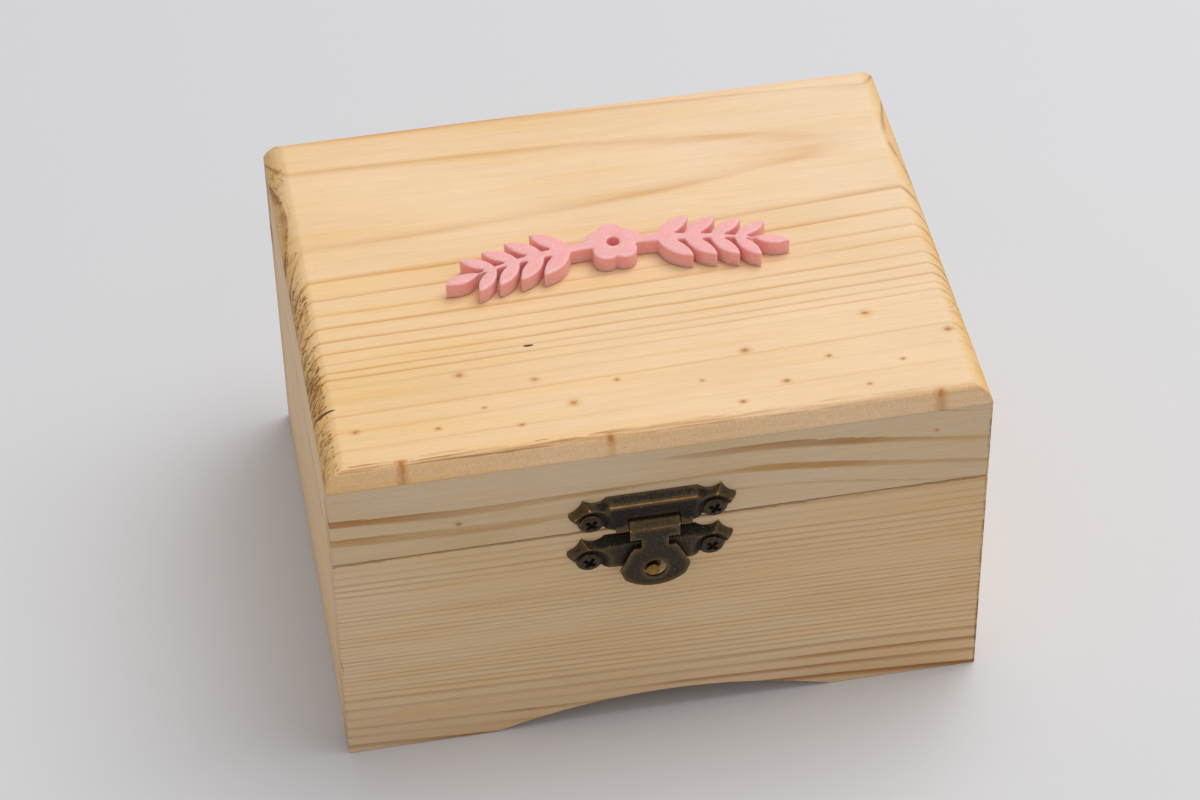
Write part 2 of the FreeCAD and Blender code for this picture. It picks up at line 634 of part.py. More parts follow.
def sprig():
    rise = vector(0, 0, size.ornament_rise)
    reach = size.ornament_length / 2 - (1 - LEAF_SHRINK_SHARE) * size.leaf_length
    bow = size.stem_bow_height
    radius = (reach ** 2 + bow ** 2) / (2 * bow)
    swing = math.asin(reach / radius)
    half_stem = size.stem_width / 2
    stem = wire(
        (-reach, 0, 0), ((0, bow + half_stem, 0), (reach, 0, 0)), ((0, bow - half_stem, 0), (-reach, 0, 0)),
    )
    outlines = [stem]
    for side in (-1, 1):
        for share in LEAF_PLACE_SHARES:
            angle = side * share * swing
            root = vector(radius * math.sin(angle), bow - radius * (1 - math.cos(angle)), 0)
            along = math.degrees(-angle) + (180 if side < 0 else 0)
            leans = (0,) if share == LEAF_PLACE_SHARES[-1] else (-LEAF_LEAN, LEAF_LEAN)
            shrink = 1 - LEAF_SHRINK_SHARE * share
            for lean in leans:
                leaf = pointed(shrink * size.leaf_length, shrink * size.leaf_width)
                leaf.Placement = FreeCAD.Placement(root, FreeCAD.Rotation(vector(0, 0, 1), along + lean))
                outlines.append(leaf)
    middle = vector(0, bow, 0)
    for index in range(PETALS):
        angle = math.radians(90) + 2 * math.pi * index / PETALS
        away = PETAL_PLACE_SHARE * size.petal_radius
        place = middle + vector(math.cos(angle), math.sin(angle), 0) * away
        outlines.append(Part.Wire(Part.makeCircle(size.petal_radius, place)))
    shapes = [Part.Face(outline).extrude(rise) for outline in outlines]
    eye = Part.makeCylinder(BLOSSOM_EYE_SHARE * size.petal_radius, size.ornament_rise, middle)
    return shapes[0].multiFuse(shapes[1:]).cut(eye).removeSplitter()


lid_ornament = bind(shaped("lid_ornament", sprig()), ("0", "ornament_shift - stem_bow_height", LID_TOP))

# Finished pieces, tested before any file is written
pieces = [
    front_wall, back_wall, *side_walls, base_panel,
    lid_front_rail, lid_back_rail, *lid_side_rails, lid_top_board,
    *hinge_pieces, hinge_box_screws, hinge_lid_screws,
    latch_lid_plate, latch_pin, latch_lid_screws, latch_tongue, latch_catch_plate, latch_catch_stud,
    latch_catch_screws, lid_ornament,
]
doc.recompute()
for item in doc.Objects:
    if "Invalid" in item.State or "Error" in item.State:
        raise RuntimeError(f"{item.Label} did not build: {item.State}")
for piece in pieces:
    if piece.Shape.isNull() or not piece.Shape.isValid() or not piece.Shape.Solids:
        raise RuntimeError(f"{piece.Label} is not a sound solid")

os.makedirs("parts", exist_ok=True)
for piece in pieces:
    piece.Shape.exportStep(f"parts/{piece.Label}.step")
    print(piece.Label, len(piece.Shape.Solids), round(piece.Shape.Volume, 2))
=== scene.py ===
import math
from types import SimpleNamespace

import bmesh
import bpy
import numpy as np
from mathutils import Matrix, Vector, noise


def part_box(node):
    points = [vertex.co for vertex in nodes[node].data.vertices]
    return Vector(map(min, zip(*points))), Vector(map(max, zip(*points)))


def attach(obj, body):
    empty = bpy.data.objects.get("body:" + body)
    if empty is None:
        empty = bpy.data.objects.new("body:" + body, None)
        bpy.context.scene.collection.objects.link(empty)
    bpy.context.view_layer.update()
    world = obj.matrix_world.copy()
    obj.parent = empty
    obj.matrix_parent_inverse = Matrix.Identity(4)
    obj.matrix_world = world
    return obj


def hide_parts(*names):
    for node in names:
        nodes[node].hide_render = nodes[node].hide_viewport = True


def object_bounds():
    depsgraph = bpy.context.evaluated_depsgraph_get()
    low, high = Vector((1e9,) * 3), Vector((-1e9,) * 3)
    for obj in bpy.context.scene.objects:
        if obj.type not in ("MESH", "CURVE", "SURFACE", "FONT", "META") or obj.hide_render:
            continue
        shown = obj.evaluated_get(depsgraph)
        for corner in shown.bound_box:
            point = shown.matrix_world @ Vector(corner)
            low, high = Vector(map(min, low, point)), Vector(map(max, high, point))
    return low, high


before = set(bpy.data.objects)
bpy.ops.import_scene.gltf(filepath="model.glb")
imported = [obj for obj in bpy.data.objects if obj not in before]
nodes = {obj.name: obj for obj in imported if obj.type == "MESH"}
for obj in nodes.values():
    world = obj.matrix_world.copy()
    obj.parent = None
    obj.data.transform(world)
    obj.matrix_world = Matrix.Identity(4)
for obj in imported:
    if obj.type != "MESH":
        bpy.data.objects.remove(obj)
cad_low, cad_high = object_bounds()
scene = bpy.context.scene
scene.view_settings.view_transform = "Standard"
MM = 0.001

# Studio: a plain pale table under soft light from above, behind and to the right, so that the
# box's soft shadow falls to the left and to the front. The camera stands where the photographer did.
TABLE_SIZE = 6.0
TABLE_PALE = "#dcdcdd"
TABLE_DULL = "#d6d6d7"
SKY = "#fbfbff"
SKY_STRENGTH = 0.5
KEY_PLACE = (0.55, 0.3, 1.5)
KEY_AIM = (0.0, 0.0, 0.04)
KEY_SIZE = 1.3
KEY_POWER = 17.0
FOCAL_LENGTH = 115.61
SENSOR_WIDTH = 36.0
CAMERA_PLACE = (-0.1100, -0.6361, 0.6539)
CAMERA_RIGHT = (0.9837, -0.17913, -0.0159)
CAMERA_UP = (0.13442, 0.67365, 0.72672)
NOISE = "ShaderNodeTexNoise"
MIX = "ShaderNodeMix"


def colour(code):
    """A linear colour from an sRGB hex value."""
    shares = [int(code[start:start + 2], 16) / 255 for start in (1, 3, 5)]
    return [s / 12.92 if s <= 0.04045 else ((s + 0.055) / 1.055) ** 2.4 for s in shares] + [1.0]


def add(tree, kind, inputs=(), **settings):
    """A node with its settings; an input is a number, or the node or socket that feeds it."""
    made = tree.nodes.new(kind)
    for name, value in settings.items():
        setattr(made, name, value)
    for key, value in dict(inputs).items():
        socket = made.inputs[key]
        if isinstance(key, str):
            socket = next(s for s in made.inputs if s.enabled and s.name == key)
        if isinstance(value, bpy.types.Node):
            value = next(s for s in value.outputs if s.enabled)
        if isinstance(value, bpy.types.NodeSocket):
            tree.links.new(value, socket)
        else:
            socket.default_value = value
    return made


def material(name):
    """A new material, its tree with nothing in it yet, and the surface it has to feed."""
    made = bpy.data.materials.new(name)
    made.use_nodes = True
    made.node_tree.nodes.clear()
    output = add(made.node_tree, "ShaderNodeOutputMaterial")
    return made, made.node_tree, output.inputs["Surface"]


# Matt white board: no grain, only a faint unevenness
table_board, tree, surface = material("matt_white_board")
cloud = add(tree, NOISE, {"Scale": 3.0, "Detail": 2.0})
tone = add(tree, MIX, {
    "Factor": cloud.outputs["Fac"], "A": colour(TABLE_DULL), "B": colour(TABLE_PALE),
}, data_type="RGBA")
shader = add(tree, "ShaderNodeBsdfPrincipled", {"Base Color": tone, "Roughness": 0.7})
tree.links.new(shader.outputs[0], surface)

mesh = bpy.data.meshes.new("table")
half = TABLE_SIZE / 2
mesh.from_pydata([(-half, -half, 0), (half, -half, 0), (half, half, 0), (-half, half, 0)], [], [(0, 1, 2, 3)])
mesh.materials.append(table_board)
table = bpy.data.objects.new("table", mesh)
scene.collection.objects.link(table)

world = bpy.data.worlds.new("studio")
scene.world = world
world.use_nodes = True
sky = world.node_tree.nodes["Background"]
sky.inputs["Color"].default_value = colour(SKY)
sky.inputs["Strength"].default_value = SKY_STRENGTH

lamp = bpy.data.lights.new("key_softbox", "AREA")
lamp.size = KEY_SIZE
lamp.energy = KEY_POWER
softbox = bpy.data.objects.new("key_softbox", lamp)
softbox.location = KEY_PLACE
softbox.rotation_euler = (Vector(KEY_AIM) - Vector(KEY_PLACE)).to_track_quat("-Z", "Y").to_euler()
scene.collection.objects.link(softbox)

camera_data = bpy.data.cameras.new("camera")
camera_data.lens = FOCAL_LENGTH
camera_data.sensor_width = SENSOR_WIDTH
camera = bpy.data.objects.new("camera", camera_data)
right, up = Vector(CAMERA_RIGHT).normalized(), Vector(CAMERA_UP).normalized()
back = right.cross(up)
camera.matrix_world = Matrix.Translation(CAMERA_PLACE) @ Matrix((right, up, back)).transposed().to_4x4()
scene.collection.objects.link(camera)
scene.camera = camera

# Front wall of the box: one pine board, planed and sanded, its grain running along the box, with a
# foot arch sawn out of its lower edge. It was cut near the log's centre at its foot, so the year
# rings are broad there and fine and even above.
FRONT_EARLY = "#e6c497"
FRONT_LATE = "#a56d35"
FRONT_HEART = "#d0a57d"
FRONT_PITH = (-46.5, -12.0)
FRONT_BROAD_RINGS = [9.5, 13.9, 17.0, 20.0, 22.9, 26.0, 29.1]
FRONT_SWELLS = (
    (0, ((-75.0, 1.5), (-45.0, 1.4), (75.0, 0.9))),
    (1, ((-75.0, 1.6), (-48.0, 1.6), (-25.0, 1.4), (0.0, 0.8), (75.0, 1.0))),
    (2, ((-75.0, 0.5), (-45.0, 0.5), (-25.0, 0.7), (40.0, 0.6), (75.0, 1.2))),
    (3, ((-75.0, 0.4), (-42.0, 0.45), (-30.0, 1.4), (-8.0, 1.5), (20.0, 1.3), (50.0, 1.1), (75.0, 1.3))),
    (4, ((-75.0, 0.4), (-12.0, 0.4), (5.0, 1.2), (30.0, 1.5), (55.0, 1.2), (75.0, 1.5))),
    (5, ((-75.0, 0.4), (15.0, 0.5), (35.0, 1.2), (60.0, 1.5), (75.0, 1.5))),
)
FRONT_NARROWEST = (44.0, 1.22)
FRONT_WIDENING = 0.0019
FRONT_REACH = 78.0
FRONT_FADE = (25.0, 31.0, 0.46)
MATH = "ShaderNodeMath"
RANGE = "ShaderNodeMapRange"
VECTOR = "ShaderNodeVectorMath"
YEAR_SWING = 0.12
YEAR_BEAT = 2.4
BOARD_HALF = 75.0
DRIFT_HALF = 70.0
FLOW_LIMIT = 10.0
SWELL_LIMIT = 1.6
LATE_LIMIT_SHARE = 0.45
HEART_SHARE = 0.2
KNOT_RING = "#d68f36"
KNOT_CORE = "#98561c"
KNOT_SQUEEZE = 0.75
TWIG_AMBER = "#b8701f"
TWIG_INSETS = (3.3, 1.3)
TWIG_WAVER = 1.0
CRACK_DARK = "#1c1009"
CRACK_WIDTH = 0.37
END_BROWN = "#9a6530"
# Dark brown of the dirt in corner splinters and of the painted shade along the lid's seam, then that seam
# band's height, half-width and waver.
GRIME_AND_SHADE_BROWN = "#523013"
SEAM_HEIGHT = 60.15
SEAM_SHADE_BAND = 0.38
SEAM_WAVER = 0.5
# Dark brown of the torn strokes: torn end grain, partly painted shade in the tears.
TORN_AND_SHADE_BROWN = "#7d4719"
TORN_STROKES = ((0.6, (3.4, 0.55, 0.4)), (0.4, (8.0, 1.6, 1.0)))
TORN_MIDDLE = -22.0
TORN_HALF = 60.0
CREST_BROWN = "#a0672a"
box_half = Vector((cad_high.x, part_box("back_wall")[1].y, 0.0)) / MM


def rings(first, last, narrowest, widening=0.0):
    """Distances at which years end: growth is least at one distance, widens away from it, and swings."""
    ends = [first]
    while ends[-1] < last:
        year = narrowest[1] + widening * (ends[-1] - narrowest[0]) ** 2
        ends.append(ends[-1] + year * (1 + YEAR_SWING * math.sin(YEAR_BEAT * len(ends))))
    return ends


def board_space(tree, grain):
    """A board's places in millimetres, along its grain, across it and up, and which way its faces look."""
    coordinates = add(tree, "ShaderNodeTexCoord")
    place = add(tree, VECTOR, {0: coordinates.outputs["Object"], "Scale": 1 / MM}, operation="SCALE")
    axes = add(tree, "ShaderNodeSeparateXYZ", {0: place}).outputs
    normal = add(tree, "ShaderNodeSeparateXYZ", {0: coordinates.outputs["Normal"]}).outputs
    across = "Y" if grain == "X" else "X"
    return SimpleNamespace(
        tree=tree, place=place, x=axes["X"], y=axes["Y"], z=axes["Z"], along=axes[grain], across=axes[across],
        fibre=add(tree, "ShaderNodeCombineXYZ", {"X": axes[grain], "Y": axes[across], "Z": axes["Z"]}),
        endwise=add(tree, MATH, {0: normal[grain]}, operation="ABSOLUTE"),
        sidewise=add(tree, MATH, {0: normal[across]}, operation="ABSOLUTE"),
        upwise=add(tree, MATH, {0: normal["Z"]}, operation="ABSOLUTE"),
    )


def stretched(board, length, width, detail, wanted="Fac"):
    """Noise drawn out along the grain, in patches of that length and width in millimetres."""
    drawn = add(board.tree, "ShaderNodeMapping", {
        "Vector": board.fibre, "Scale": (1 / length, 1 / width, 1 / width),
    })
    return add(board.tree, NOISE, {"Vector": drawn, "Scale": 1.0, "Detail": detail}).outputs[wanted]


def along_board(board, points, lowest, highest):
    """A value that changes smoothly along the grain, through points of place and value."""
    share = add(board.tree, RANGE, {"Value": board.along, "From Min": -BOARD_HALF, "From Max": BOARD_HALF})
    curve = add(board.tree, "ShaderNodeFloatCurve", {"Value": share})
    handles = curve.mapping.curves[0].points
    spots = [
        (place / (2 * BOARD_HALF) + 0.5, (value - lowest) / (highest - lowest)) for place, value in points
    ]
    handles[0].location, handles[1].location = spots[0], spots[-1]
    for spot in spots[1:-1]:
        handles.new(*spot)
    curve.mapping.update()
    return add(board.tree, RANGE, {"Value": curve, "To Min": lowest, "To Max": highest})


def log_distance(board, pith, core, tip, lean, taper, wander, flow, broad):
    """How far each place was from the log's centre, with the slow wander of real rings."""
    tree = board.tree
    moved = add(tree, VECTOR, {
        0: stretched(board, 75, 16, 2.0, "Color"), 1: (0, *wander), 2: board.fibre,
    }, operation="MULTIPLY_ADD")
    moved = add(tree, "ShaderNodeSeparateXYZ", {0: moved}).outputs
    side = add(tree, MATH, {0: moved["X"], 1: -lean, 2: moved["Y"]}, operation="MULTIPLY_ADD")
    side = add(tree, MATH, {0: side, 1: pith[0] + wander[0] / 2}, operation="SUBTRACT")
    height = add(tree, MATH, {0: moved["Z"], 1: pith[1] + wander[1] / 2}, operation="SUBTRACT")
    if flow:
        rise = along_board(board, flow, -FLOW_LIMIT, FLOW_LIMIT)
        height = add(tree, MATH, {0: height, 1: rise}, operation="SUBTRACT")
    height = add(tree, MATH, {0: height, 1: height, 2: -core * core}, operation="MULTIPLY_ADD")
    run = add(tree, MATH, {0: moved["X"], 1: tip}, operation="SUBTRACT")
    slope = add(tree, MATH, {0: run, 1: taper[1], 2: taper[0]}, operation="MULTIPLY_ADD")
    square = add(tree, MATH, {0: side, 1: side, 2: height}, operation="MULTIPLY_ADD")
    square = add(tree, MATH, {0: slope, 1: run, 2: square}, operation="MULTIPLY_ADD")
    square = add(tree, MATH, {0: square, 1: 0.0}, operation="MAXIMUM")
    radius = add(tree, MATH, {0: square}, operation="SQRT")
    ragged = stretched(board, 20, 0.45, 3.0) if broad else stretched(board, 14, 0.9, 3.0)
    return add(tree, MATH, {0: ragged, 1: 1.3 if broad else 0.3, 2: radius}, operation="MULTIPLY_ADD")


def year_lines(board, radius, ring_ends, late_width, late_share, late_start, fade, swells, broad):
    """How dark the wood is: years are counted out to that distance, and each ends in dark late wood."""
    tree = board.tree
    reach, years = ring_ends[-1], len(ring_ends)
    share = add(tree, MATH, {0: radius, 1: reach}, operation="DIVIDE")
    count = add(tree, "ShaderNodeFloatCurve", {"Value": share})
    points = count.mapping.curves[0].points
    before = 0.0
    for year, end in enumerate(ring_ends):
        late_part = min(late_width + late_share * (end - before), LATE_LIMIT_SHARE * (end - before))
        points.new((end - late_part) / reach, (year + 0.5) / years)
        if year < years - 1:
            points.new(end / reach, (year + 1) / years)
        before = end
    for point in points:
        point.handle_type = "VECTOR"
    count.mapping.update()
    count = add(tree, MATH, {0: count, 1: years}, operation="MULTIPLY")
    phase = add(tree, MATH, {0: count}, operation="FRACT")
    line = add(tree, "ShaderNodeValToRGB", {"Fac": phase})
    stops = line.color_ramp.elements
    stops[0].color, stops[1].color = (0.3, 0.3, 0.3, 1), (0.5, 0.5, 0.5, 1)
    for spot, grey in ((0.06, 0.0), (0.5, 0.0), (late_start, 0.75 if broad else 0.5), (0.94, 1.0)):
        stops.new(spot).color = (grey, grey, grey, 1)

    # Some years are darker than others, and each comes and goes along the board
    year_number = add(tree, MATH, {0: count}, operation="FLOOR")
    chance = add(tree, "ShaderNodeTexWhiteNoise", {"W": year_number}, noise_dimensions="1D")
    depth = add(tree, RANGE, {"Value": chance.outputs["Value"], "To Min": 0.55, "To Max": 1.0})
    waxing = add(tree, RANGE, {
        "Value": stretched(board, 60, 5, 1.0), "From Min": 0.32, "From Max": 0.62,
        "To Min": 0.35, "To Max": 1.1,
    })
    strength = 1.0
    if fade:
        strength = add(tree, RANGE, {
            "Value": radius, "From Min": fade[0], "From Max": fade[1], "To Min": 1.0, "To Max": fade[2],
        })
    for year, points in swells:
        chosen = add(tree, MATH, {0: year_number, 1: float(year), 2: 0.1}, operation="COMPARE")
        swell = along_board(board, points, 0.0, SWELL_LIMIT)
        strength = add(tree, MIX, {"Factor": chosen, "A": strength, "B": swell})
    ring = line.outputs["Color"]
    if broad:
        weakness = add(tree, MATH, {0: 1.0, 1: strength}, operation="SUBTRACT")
        fullness = add(tree, MATH, {0: 1.4, 1: strength}, operation="SUBTRACT")
        ring = add(tree, RANGE, {"Value": ring, "From Min": weakness, "From Max": fullness})
        strength = add(tree, MATH, {0: strength, 1: 0.5, 2: 0.4}, operation="MULTIPLY_ADD")
    for share in (1.0 if broad else depth, waxing, strength):
        ring = add(tree, MATH, {0: ring, 1: share}, operation="MULTIPLY")
    return ring


def silky(board, tone, drift):
    """That colour with streaks, clouds and short open pores drawn out along the grain, and their relief."""
    tree = board.tree
    streak = stretched(board, 30, 0.8, 4.0)
    cloud = stretched(board, 60, 20, 1.0)
    pore = add(tree, RANGE, {
        "Value": stretched(board, 2.4, 0.28, 1.0), "From Min": 0.66, "From Max": 0.76, "To Max": 0.1,
    })
    value = 0.78
    for noise_value, amount in ((streak, 0.14), (cloud, 0.14), (stretched(board, 7, 0.3, 2.0), 0.16)):
        value = add(tree, MATH, {0: noise_value, 1: amount, 2: value}, operation="MULTIPLY_ADD")
    value = add(tree, MATH, {0: value, 1: pore}, operation="SUBTRACT")
    golden = add(tree, RANGE, {
        "Value": stretched(board, 40, 4, 2.0), "From Min": 0.5, "From Max": 0.7,
        "To Min": 1.08, "To Max": 1.17,
    })
    warmth = add(tree, MATH, {0: cloud, 1: -0.2, 2: golden}, operation="MULTIPLY_ADD")
    for axis, start, end in ((board.along, *drift[:2]), (board.across, *drift[2:])):
        drifting = add(tree, RANGE, {
            "Value": axis, "From Min": -DRIFT_HALF, "From Max": DRIFT_HALF, "To Min": start, "To Max": end,
        })
        warmth = add(tree, MATH, {0: warmth, 1: drifting}, operation="MULTIPLY")
    tone = add(tree, "ShaderNodeHueSaturation", {"Saturation": warmth, "Value": value, "Color": tone})
    return tone, add(tree, MATH, {0: streak, 1: pore}, operation="SUBTRACT")


def marked(board, tone, knots, knot_height, knot_size, streaks, slits):
    """That colour with pin knots, with twigs cut lengthwise on the front edge, and with fine cracks."""
    tree = board.tree
    if knots:
        flat = add(tree, "ShaderNodeCombineXYZ", {"X": board.x, "Y": knot_height})
        flat = add(tree, VECTOR, {0: flat, 1: (KNOT_SQUEEZE, 1.0, 0.0)}, operation="MULTIPLY")
        nearest = 9.0
        for number, (x, height) in enumerate(knots):
            smallness = (0.75 + 0.2 * (number % 4)) / knot_size
            apart = add(tree, VECTOR, {0: flat, 1: (KNOT_SQUEEZE * x, height, 0.0)}, operation="DISTANCE")
            apart = add(tree, MATH, {0: apart, 1: smallness}, operation="MULTIPLY")
            nearest = add(tree, MATH, {0: apart, 1: nearest}, operation="MINIMUM")
        blur = stretched(board, 1.2, 0.8, 2.0)
        nearest = add(tree, MATH, {0: blur, 1: 0.7, 2: nearest}, operation="MULTIPLY_ADD")
        for reach, share, shade in ((1.6, 0.5, KNOT_RING), (1.0, 0.7, KNOT_CORE)):
            knot = add(tree, RANGE, {
                "Value": nearest, "From Min": reach, "From Max": 0.4 * reach, "To Max": share,
            })
            tone = add(tree, MIX, {"Factor": knot, "A": tone, "B": colour(shade)}, data_type="RGBA")
    for x, width, share in streaks:
        off = add(tree, MATH, {0: board.x, 1: x - TWIG_WAVER}, operation="SUBTRACT")
        waver = stretched(board, 0.9, 1.4, 2.0)
        off = add(tree, MATH, {0: waver, 1: -2 * TWIG_WAVER, 2: off}, operation="MULTIPLY_ADD")
        off = add(tree, MATH, {0: off}, operation="ABSOLUTE")
        twig = add(tree, RANGE, {"Value": off, "From Min": 1.7 * width, "From Max": 0.0, "To Max": share})
        inner, outer = (inset - box_half.y for inset in TWIG_INSETS)
        edge = add(tree, RANGE, {"Value": board.y, "From Min": inner, "From Max": outer})
        twig = add(tree, MATH, {0: twig, 1: edge}, operation="MULTIPLY")
        tone = add(tree, MIX, {"Factor": twig, "A": tone, "B": colour(TWIG_AMBER)}, data_type="RGBA")
    for x, y, length in slits:
        off = add(tree, VECTOR, {0: board.place, 1: (x, y, 0.0)}, operation="SUBTRACT")
        off = add(tree, VECTOR, {0: off, 1: (1 / length, 1 / CRACK_WIDTH, 0.0)}, operation="MULTIPLY")
        off = add(tree, VECTOR, {0: off}, operation="LENGTH")
        thin = add(tree, RANGE, {"Value": off, "From Min": 1.0, "From Max": 0.8, "To Max": 0.95})
        tone = add(tree, MIX, {"Factor": thin, "A": tone, "B": colour(CRACK_DARK)}, data_type="RGBA")
    return tone


def sawn_ends(board, tone, ring, torn):
    """That colour with darker ends that show their pores, how far each place is an end, and the grit."""
    tree = board.tree
    end = add(tree, RANGE, {"Value": board.endwise, "From Min": 0.25, "From Max": 0.95})
    grit = add(tree, NOISE, {"Vector": board.fibre, "Scale": 2.2, "Detail": 3.0}).outputs["Fac"]
    value = add(tree, RANGE, {"Value": grit, "To Min": 0.77, "To Max": 1.09})
    warmth = add(tree, RANGE, {
        "Value": board.along, "From Min": -DRIFT_HALF, "From Max": DRIFT_HALF,
        "To Min": 1.22 if torn else 1.05, "To Max": 1.5 if torn else 1.05,
    })
    shade = add(tree, "ShaderNodeHueSaturation", {"Saturation": warmth, "Value": value, "Color": tone})
    dark = add(tree, MATH, {0: ring, 1: 2.1 if torn else 0.5}, operation="MULTIPLY")
    shade = add(tree, MIX, {"Factor": dark, "A": shade, "B": colour(END_BROWN)}, data_type="RGBA")
    return add(tree, MIX, {"Factor": end, "A": tone, "B": shade}, data_type="RGBA"), end, grit


def grime_and_seam_shade(board, splintered):
    """Painted shade in the mouth of the lid's seam, and dirt in splinters down the corners, the right ones
    most.
    """
    tree = board.tree
    outward = add(tree, VECTOR, {0: board.place}, operation="ABSOLUTE")
    outward = add(tree, "ShaderNodeSeparateXYZ", {0: outward}).outputs
    inset_x = add(tree, MATH, {0: box_half.x, 1: outward["X"]}, operation="SUBTRACT")
    inset_y = add(tree, MATH, {0: box_half.y, 1: outward["Y"]}, operation="SUBTRACT")
    nearer = add(tree, MATH, {0: inset_x, 1: inset_y}, operation="MINIMUM")
    further = add(tree, MATH, {0: inset_x, 1: inset_y}, operation="MAXIMUM")
    mouth = add(tree, RANGE, {"Value": nearer, "From Min": 1.0, "From Max": 0.6})
    mouth = add(tree, MATH, {0: mouth, 1: board.upwise}, operation="SUBTRACT", use_clamp=True)
    filled = add(tree, RANGE, {
        "Value": stretched(board, 9, 9, 3.0), "From Min": 0.42, "From Max": 0.58,
        "To Min": 0.45, "To Max": 1.0,
    })
    mouth = add(tree, MATH, {0: mouth, 1: filled}, operation="MULTIPLY")
    # A dark band at the seam's height on the outer faces: painted shade in the gap under the lid.
    waver = stretched(board, 3, 3, 2.0)
    seam = add(tree, MATH, {0: waver, 1: SEAM_WAVER, 2: board.z}, operation="MULTIPLY_ADD")
    seam = add(tree, MATH, {0: seam, 1: SEAM_HEIGHT + SEAM_WAVER / 2, 2: SEAM_SHADE_BAND}, operation="COMPARE")
    seam = add(tree, MATH, {0: seam, 1: mouth}, operation="MULTIPLY")
    if not splintered:
        return seam

    upright = add(tree, "ShaderNodeMapping", {"Vector": board.place, "Scale": (1.6, 1.6, 0.22)})
    upright = add(tree, NOISE, {"Vector": upright, "Scale": 1.0, "Detail": 3.0, "Roughness": 0.7})
    handed = add(tree, RANGE, {
        "Value": board.x, "From Min": -DRIFT_HALF, "From Max": DRIFT_HALF, "To Min": -0.1, "To Max": 0.06,
    })
    splinter = add(tree, MATH, {0: upright.outputs["Fac"], 1: handed}, operation="ADD")
    splinter = add(tree, RANGE, {"Value": splinter, "From Min": 0.5, "From Max": 0.6, "To Max": 0.65})
    corner = add(tree, RANGE, {"Value": further, "From Min": 0.75, "From Max": 0.35})
    splinter = add(tree, MATH, {0: splinter, 1: corner}, operation="MULTIPLY")
    return add(tree, MATH, {0: seam, 1: splinter}, operation="MAXIMUM")


def torn_fibres(board, radius, torn):
    """Where the rounding cutter tore the ends: ragged strokes that follow the rings, darker torn end grain
    with painted shade in the tears.
    """
    tree = board.tree
    ragged = 0.0
    for share, fineness in TORN_STROKES:
        stroke = add(tree, "ShaderNodeCombineXYZ", {"X": radius, "Y": board.z, "Z": board.x})
        stroke = add(tree, VECTOR, {0: stroke, 1: fineness}, operation="MULTIPLY")
        stroke = add(tree, NOISE, {"Vector": stroke, "Scale": 1.0, "Detail": 3.0, "Roughness": 0.65})
        ragged = add(tree, MATH, {0: stroke.outputs["Fac"], 1: share, 2: ragged}, operation="MULTIPLY_ADD")
    patch = add(tree, RANGE, {
        "Value": stretched(board, 30, 9, 2.0), "From Min": 0.35, "From Max": 0.6,
        "To Min": -0.09, "To Max": 0.0,
    })
    bite = add(tree, RANGE, {
        "Value": board.endwise, "From Min": 0.15, "From Max": 0.5, "To Min": -0.3, "To Max": 0.0,
    })
    left, right, calmer = torn
    rough = add(tree, RANGE, {
        "Value": board.along, "From Min": -TORN_HALF, "From Max": TORN_HALF, "To Min": left, "To Max": right,
    })
    calm = add(tree, MATH, {0: board.across, 1: TORN_MIDDLE}, operation="SUBTRACT")
    calm = add(tree, MATH, {0: calm}, operation="ABSOLUTE")
    calm = add(tree, MATH, {0: calm, 1: calmer / TORN_HALF}, operation="MULTIPLY")
    for change in (patch, bite, rough, calm):
        ragged = add(tree, MATH, {0: ragged, 1: change}, operation="ADD")
    return add(tree, RANGE, {"Value": ragged, "From Min": 0.485, "From Max": 0.545, "To Max": 0.88})


def sanded_edges(board, tone, end):
    """That colour with a tan, grainy band where the rounding runs along the grain, browner on its crest."""
    tree = board.tree
    rounded = add(tree, RANGE, {"Value": board.sidewise, "From Min": 0.12, "From Max": 0.3})
    rounded = add(tree, MATH, {0: rounded, 1: end}, operation="SUBTRACT", use_clamp=True)
    brushed = add(tree, "ShaderNodeMapping", {"Vector": board.place, "Scale": (4.0, 1.6, 1.2)})
    brushed = add(tree, NOISE, {"Vector": brushed, "Scale": 1.0, "Detail": 3.0, "Roughness": 0.75})
    value = add(tree, RANGE, {
        "Value": brushed.outputs["Fac"], "From Min": 0.3, "From Max": 0.7, "To Min": 0.89, "To Max": 1.16,
    })
    dusty = add(tree, "ShaderNodeHueSaturation", {
        "Hue": 0.495, "Saturation": 1.06, "Value": value, "Color": tone,
    })
    tone = add(tree, MIX, {"Factor": rounded, "A": tone, "B": dusty}, data_type="RGBA")

    waver = stretched(board, 12, 0.8, 3.0)
    crest = add(tree, MATH, {0: waver, 1: 0.8, 2: board.sidewise}, operation="MULTIPLY_ADD")
    crest = add(tree, MATH, {0: crest, 1: 0.88, 2: 0.3}, operation="COMPARE")
    fibres = add(tree, RANGE, {
        "Value": stretched(board, 16, 0.5, 3.0), "From Min": 0.38, "From Max": 0.62,
        "To Min": 0.1, "To Max": 0.85,
    })
    handed = add(tree, RANGE, {
        "Value": board.x, "From Min": -40.0, "From Max": 60.0, "To Min": 1.0, "To Max": 0.3,
    })
    in_front = add(tree, MATH, {0: board.across, 1: 0.0}, operation="LESS_THAN")
    off_top = add(tree, RANGE, {"Value": board.sidewise, "From Min": 0.06, "From Max": 0.16})
    for share in (fibres, handed, in_front, off_top):
        crest = add(tree, MATH, {0: crest, 1: share}, operation="MULTIPLY")
    return add(tree, MIX, {"Factor": crest, "A": tone, "B": colour(CREST_BROWN)}, data_type="RGBA")


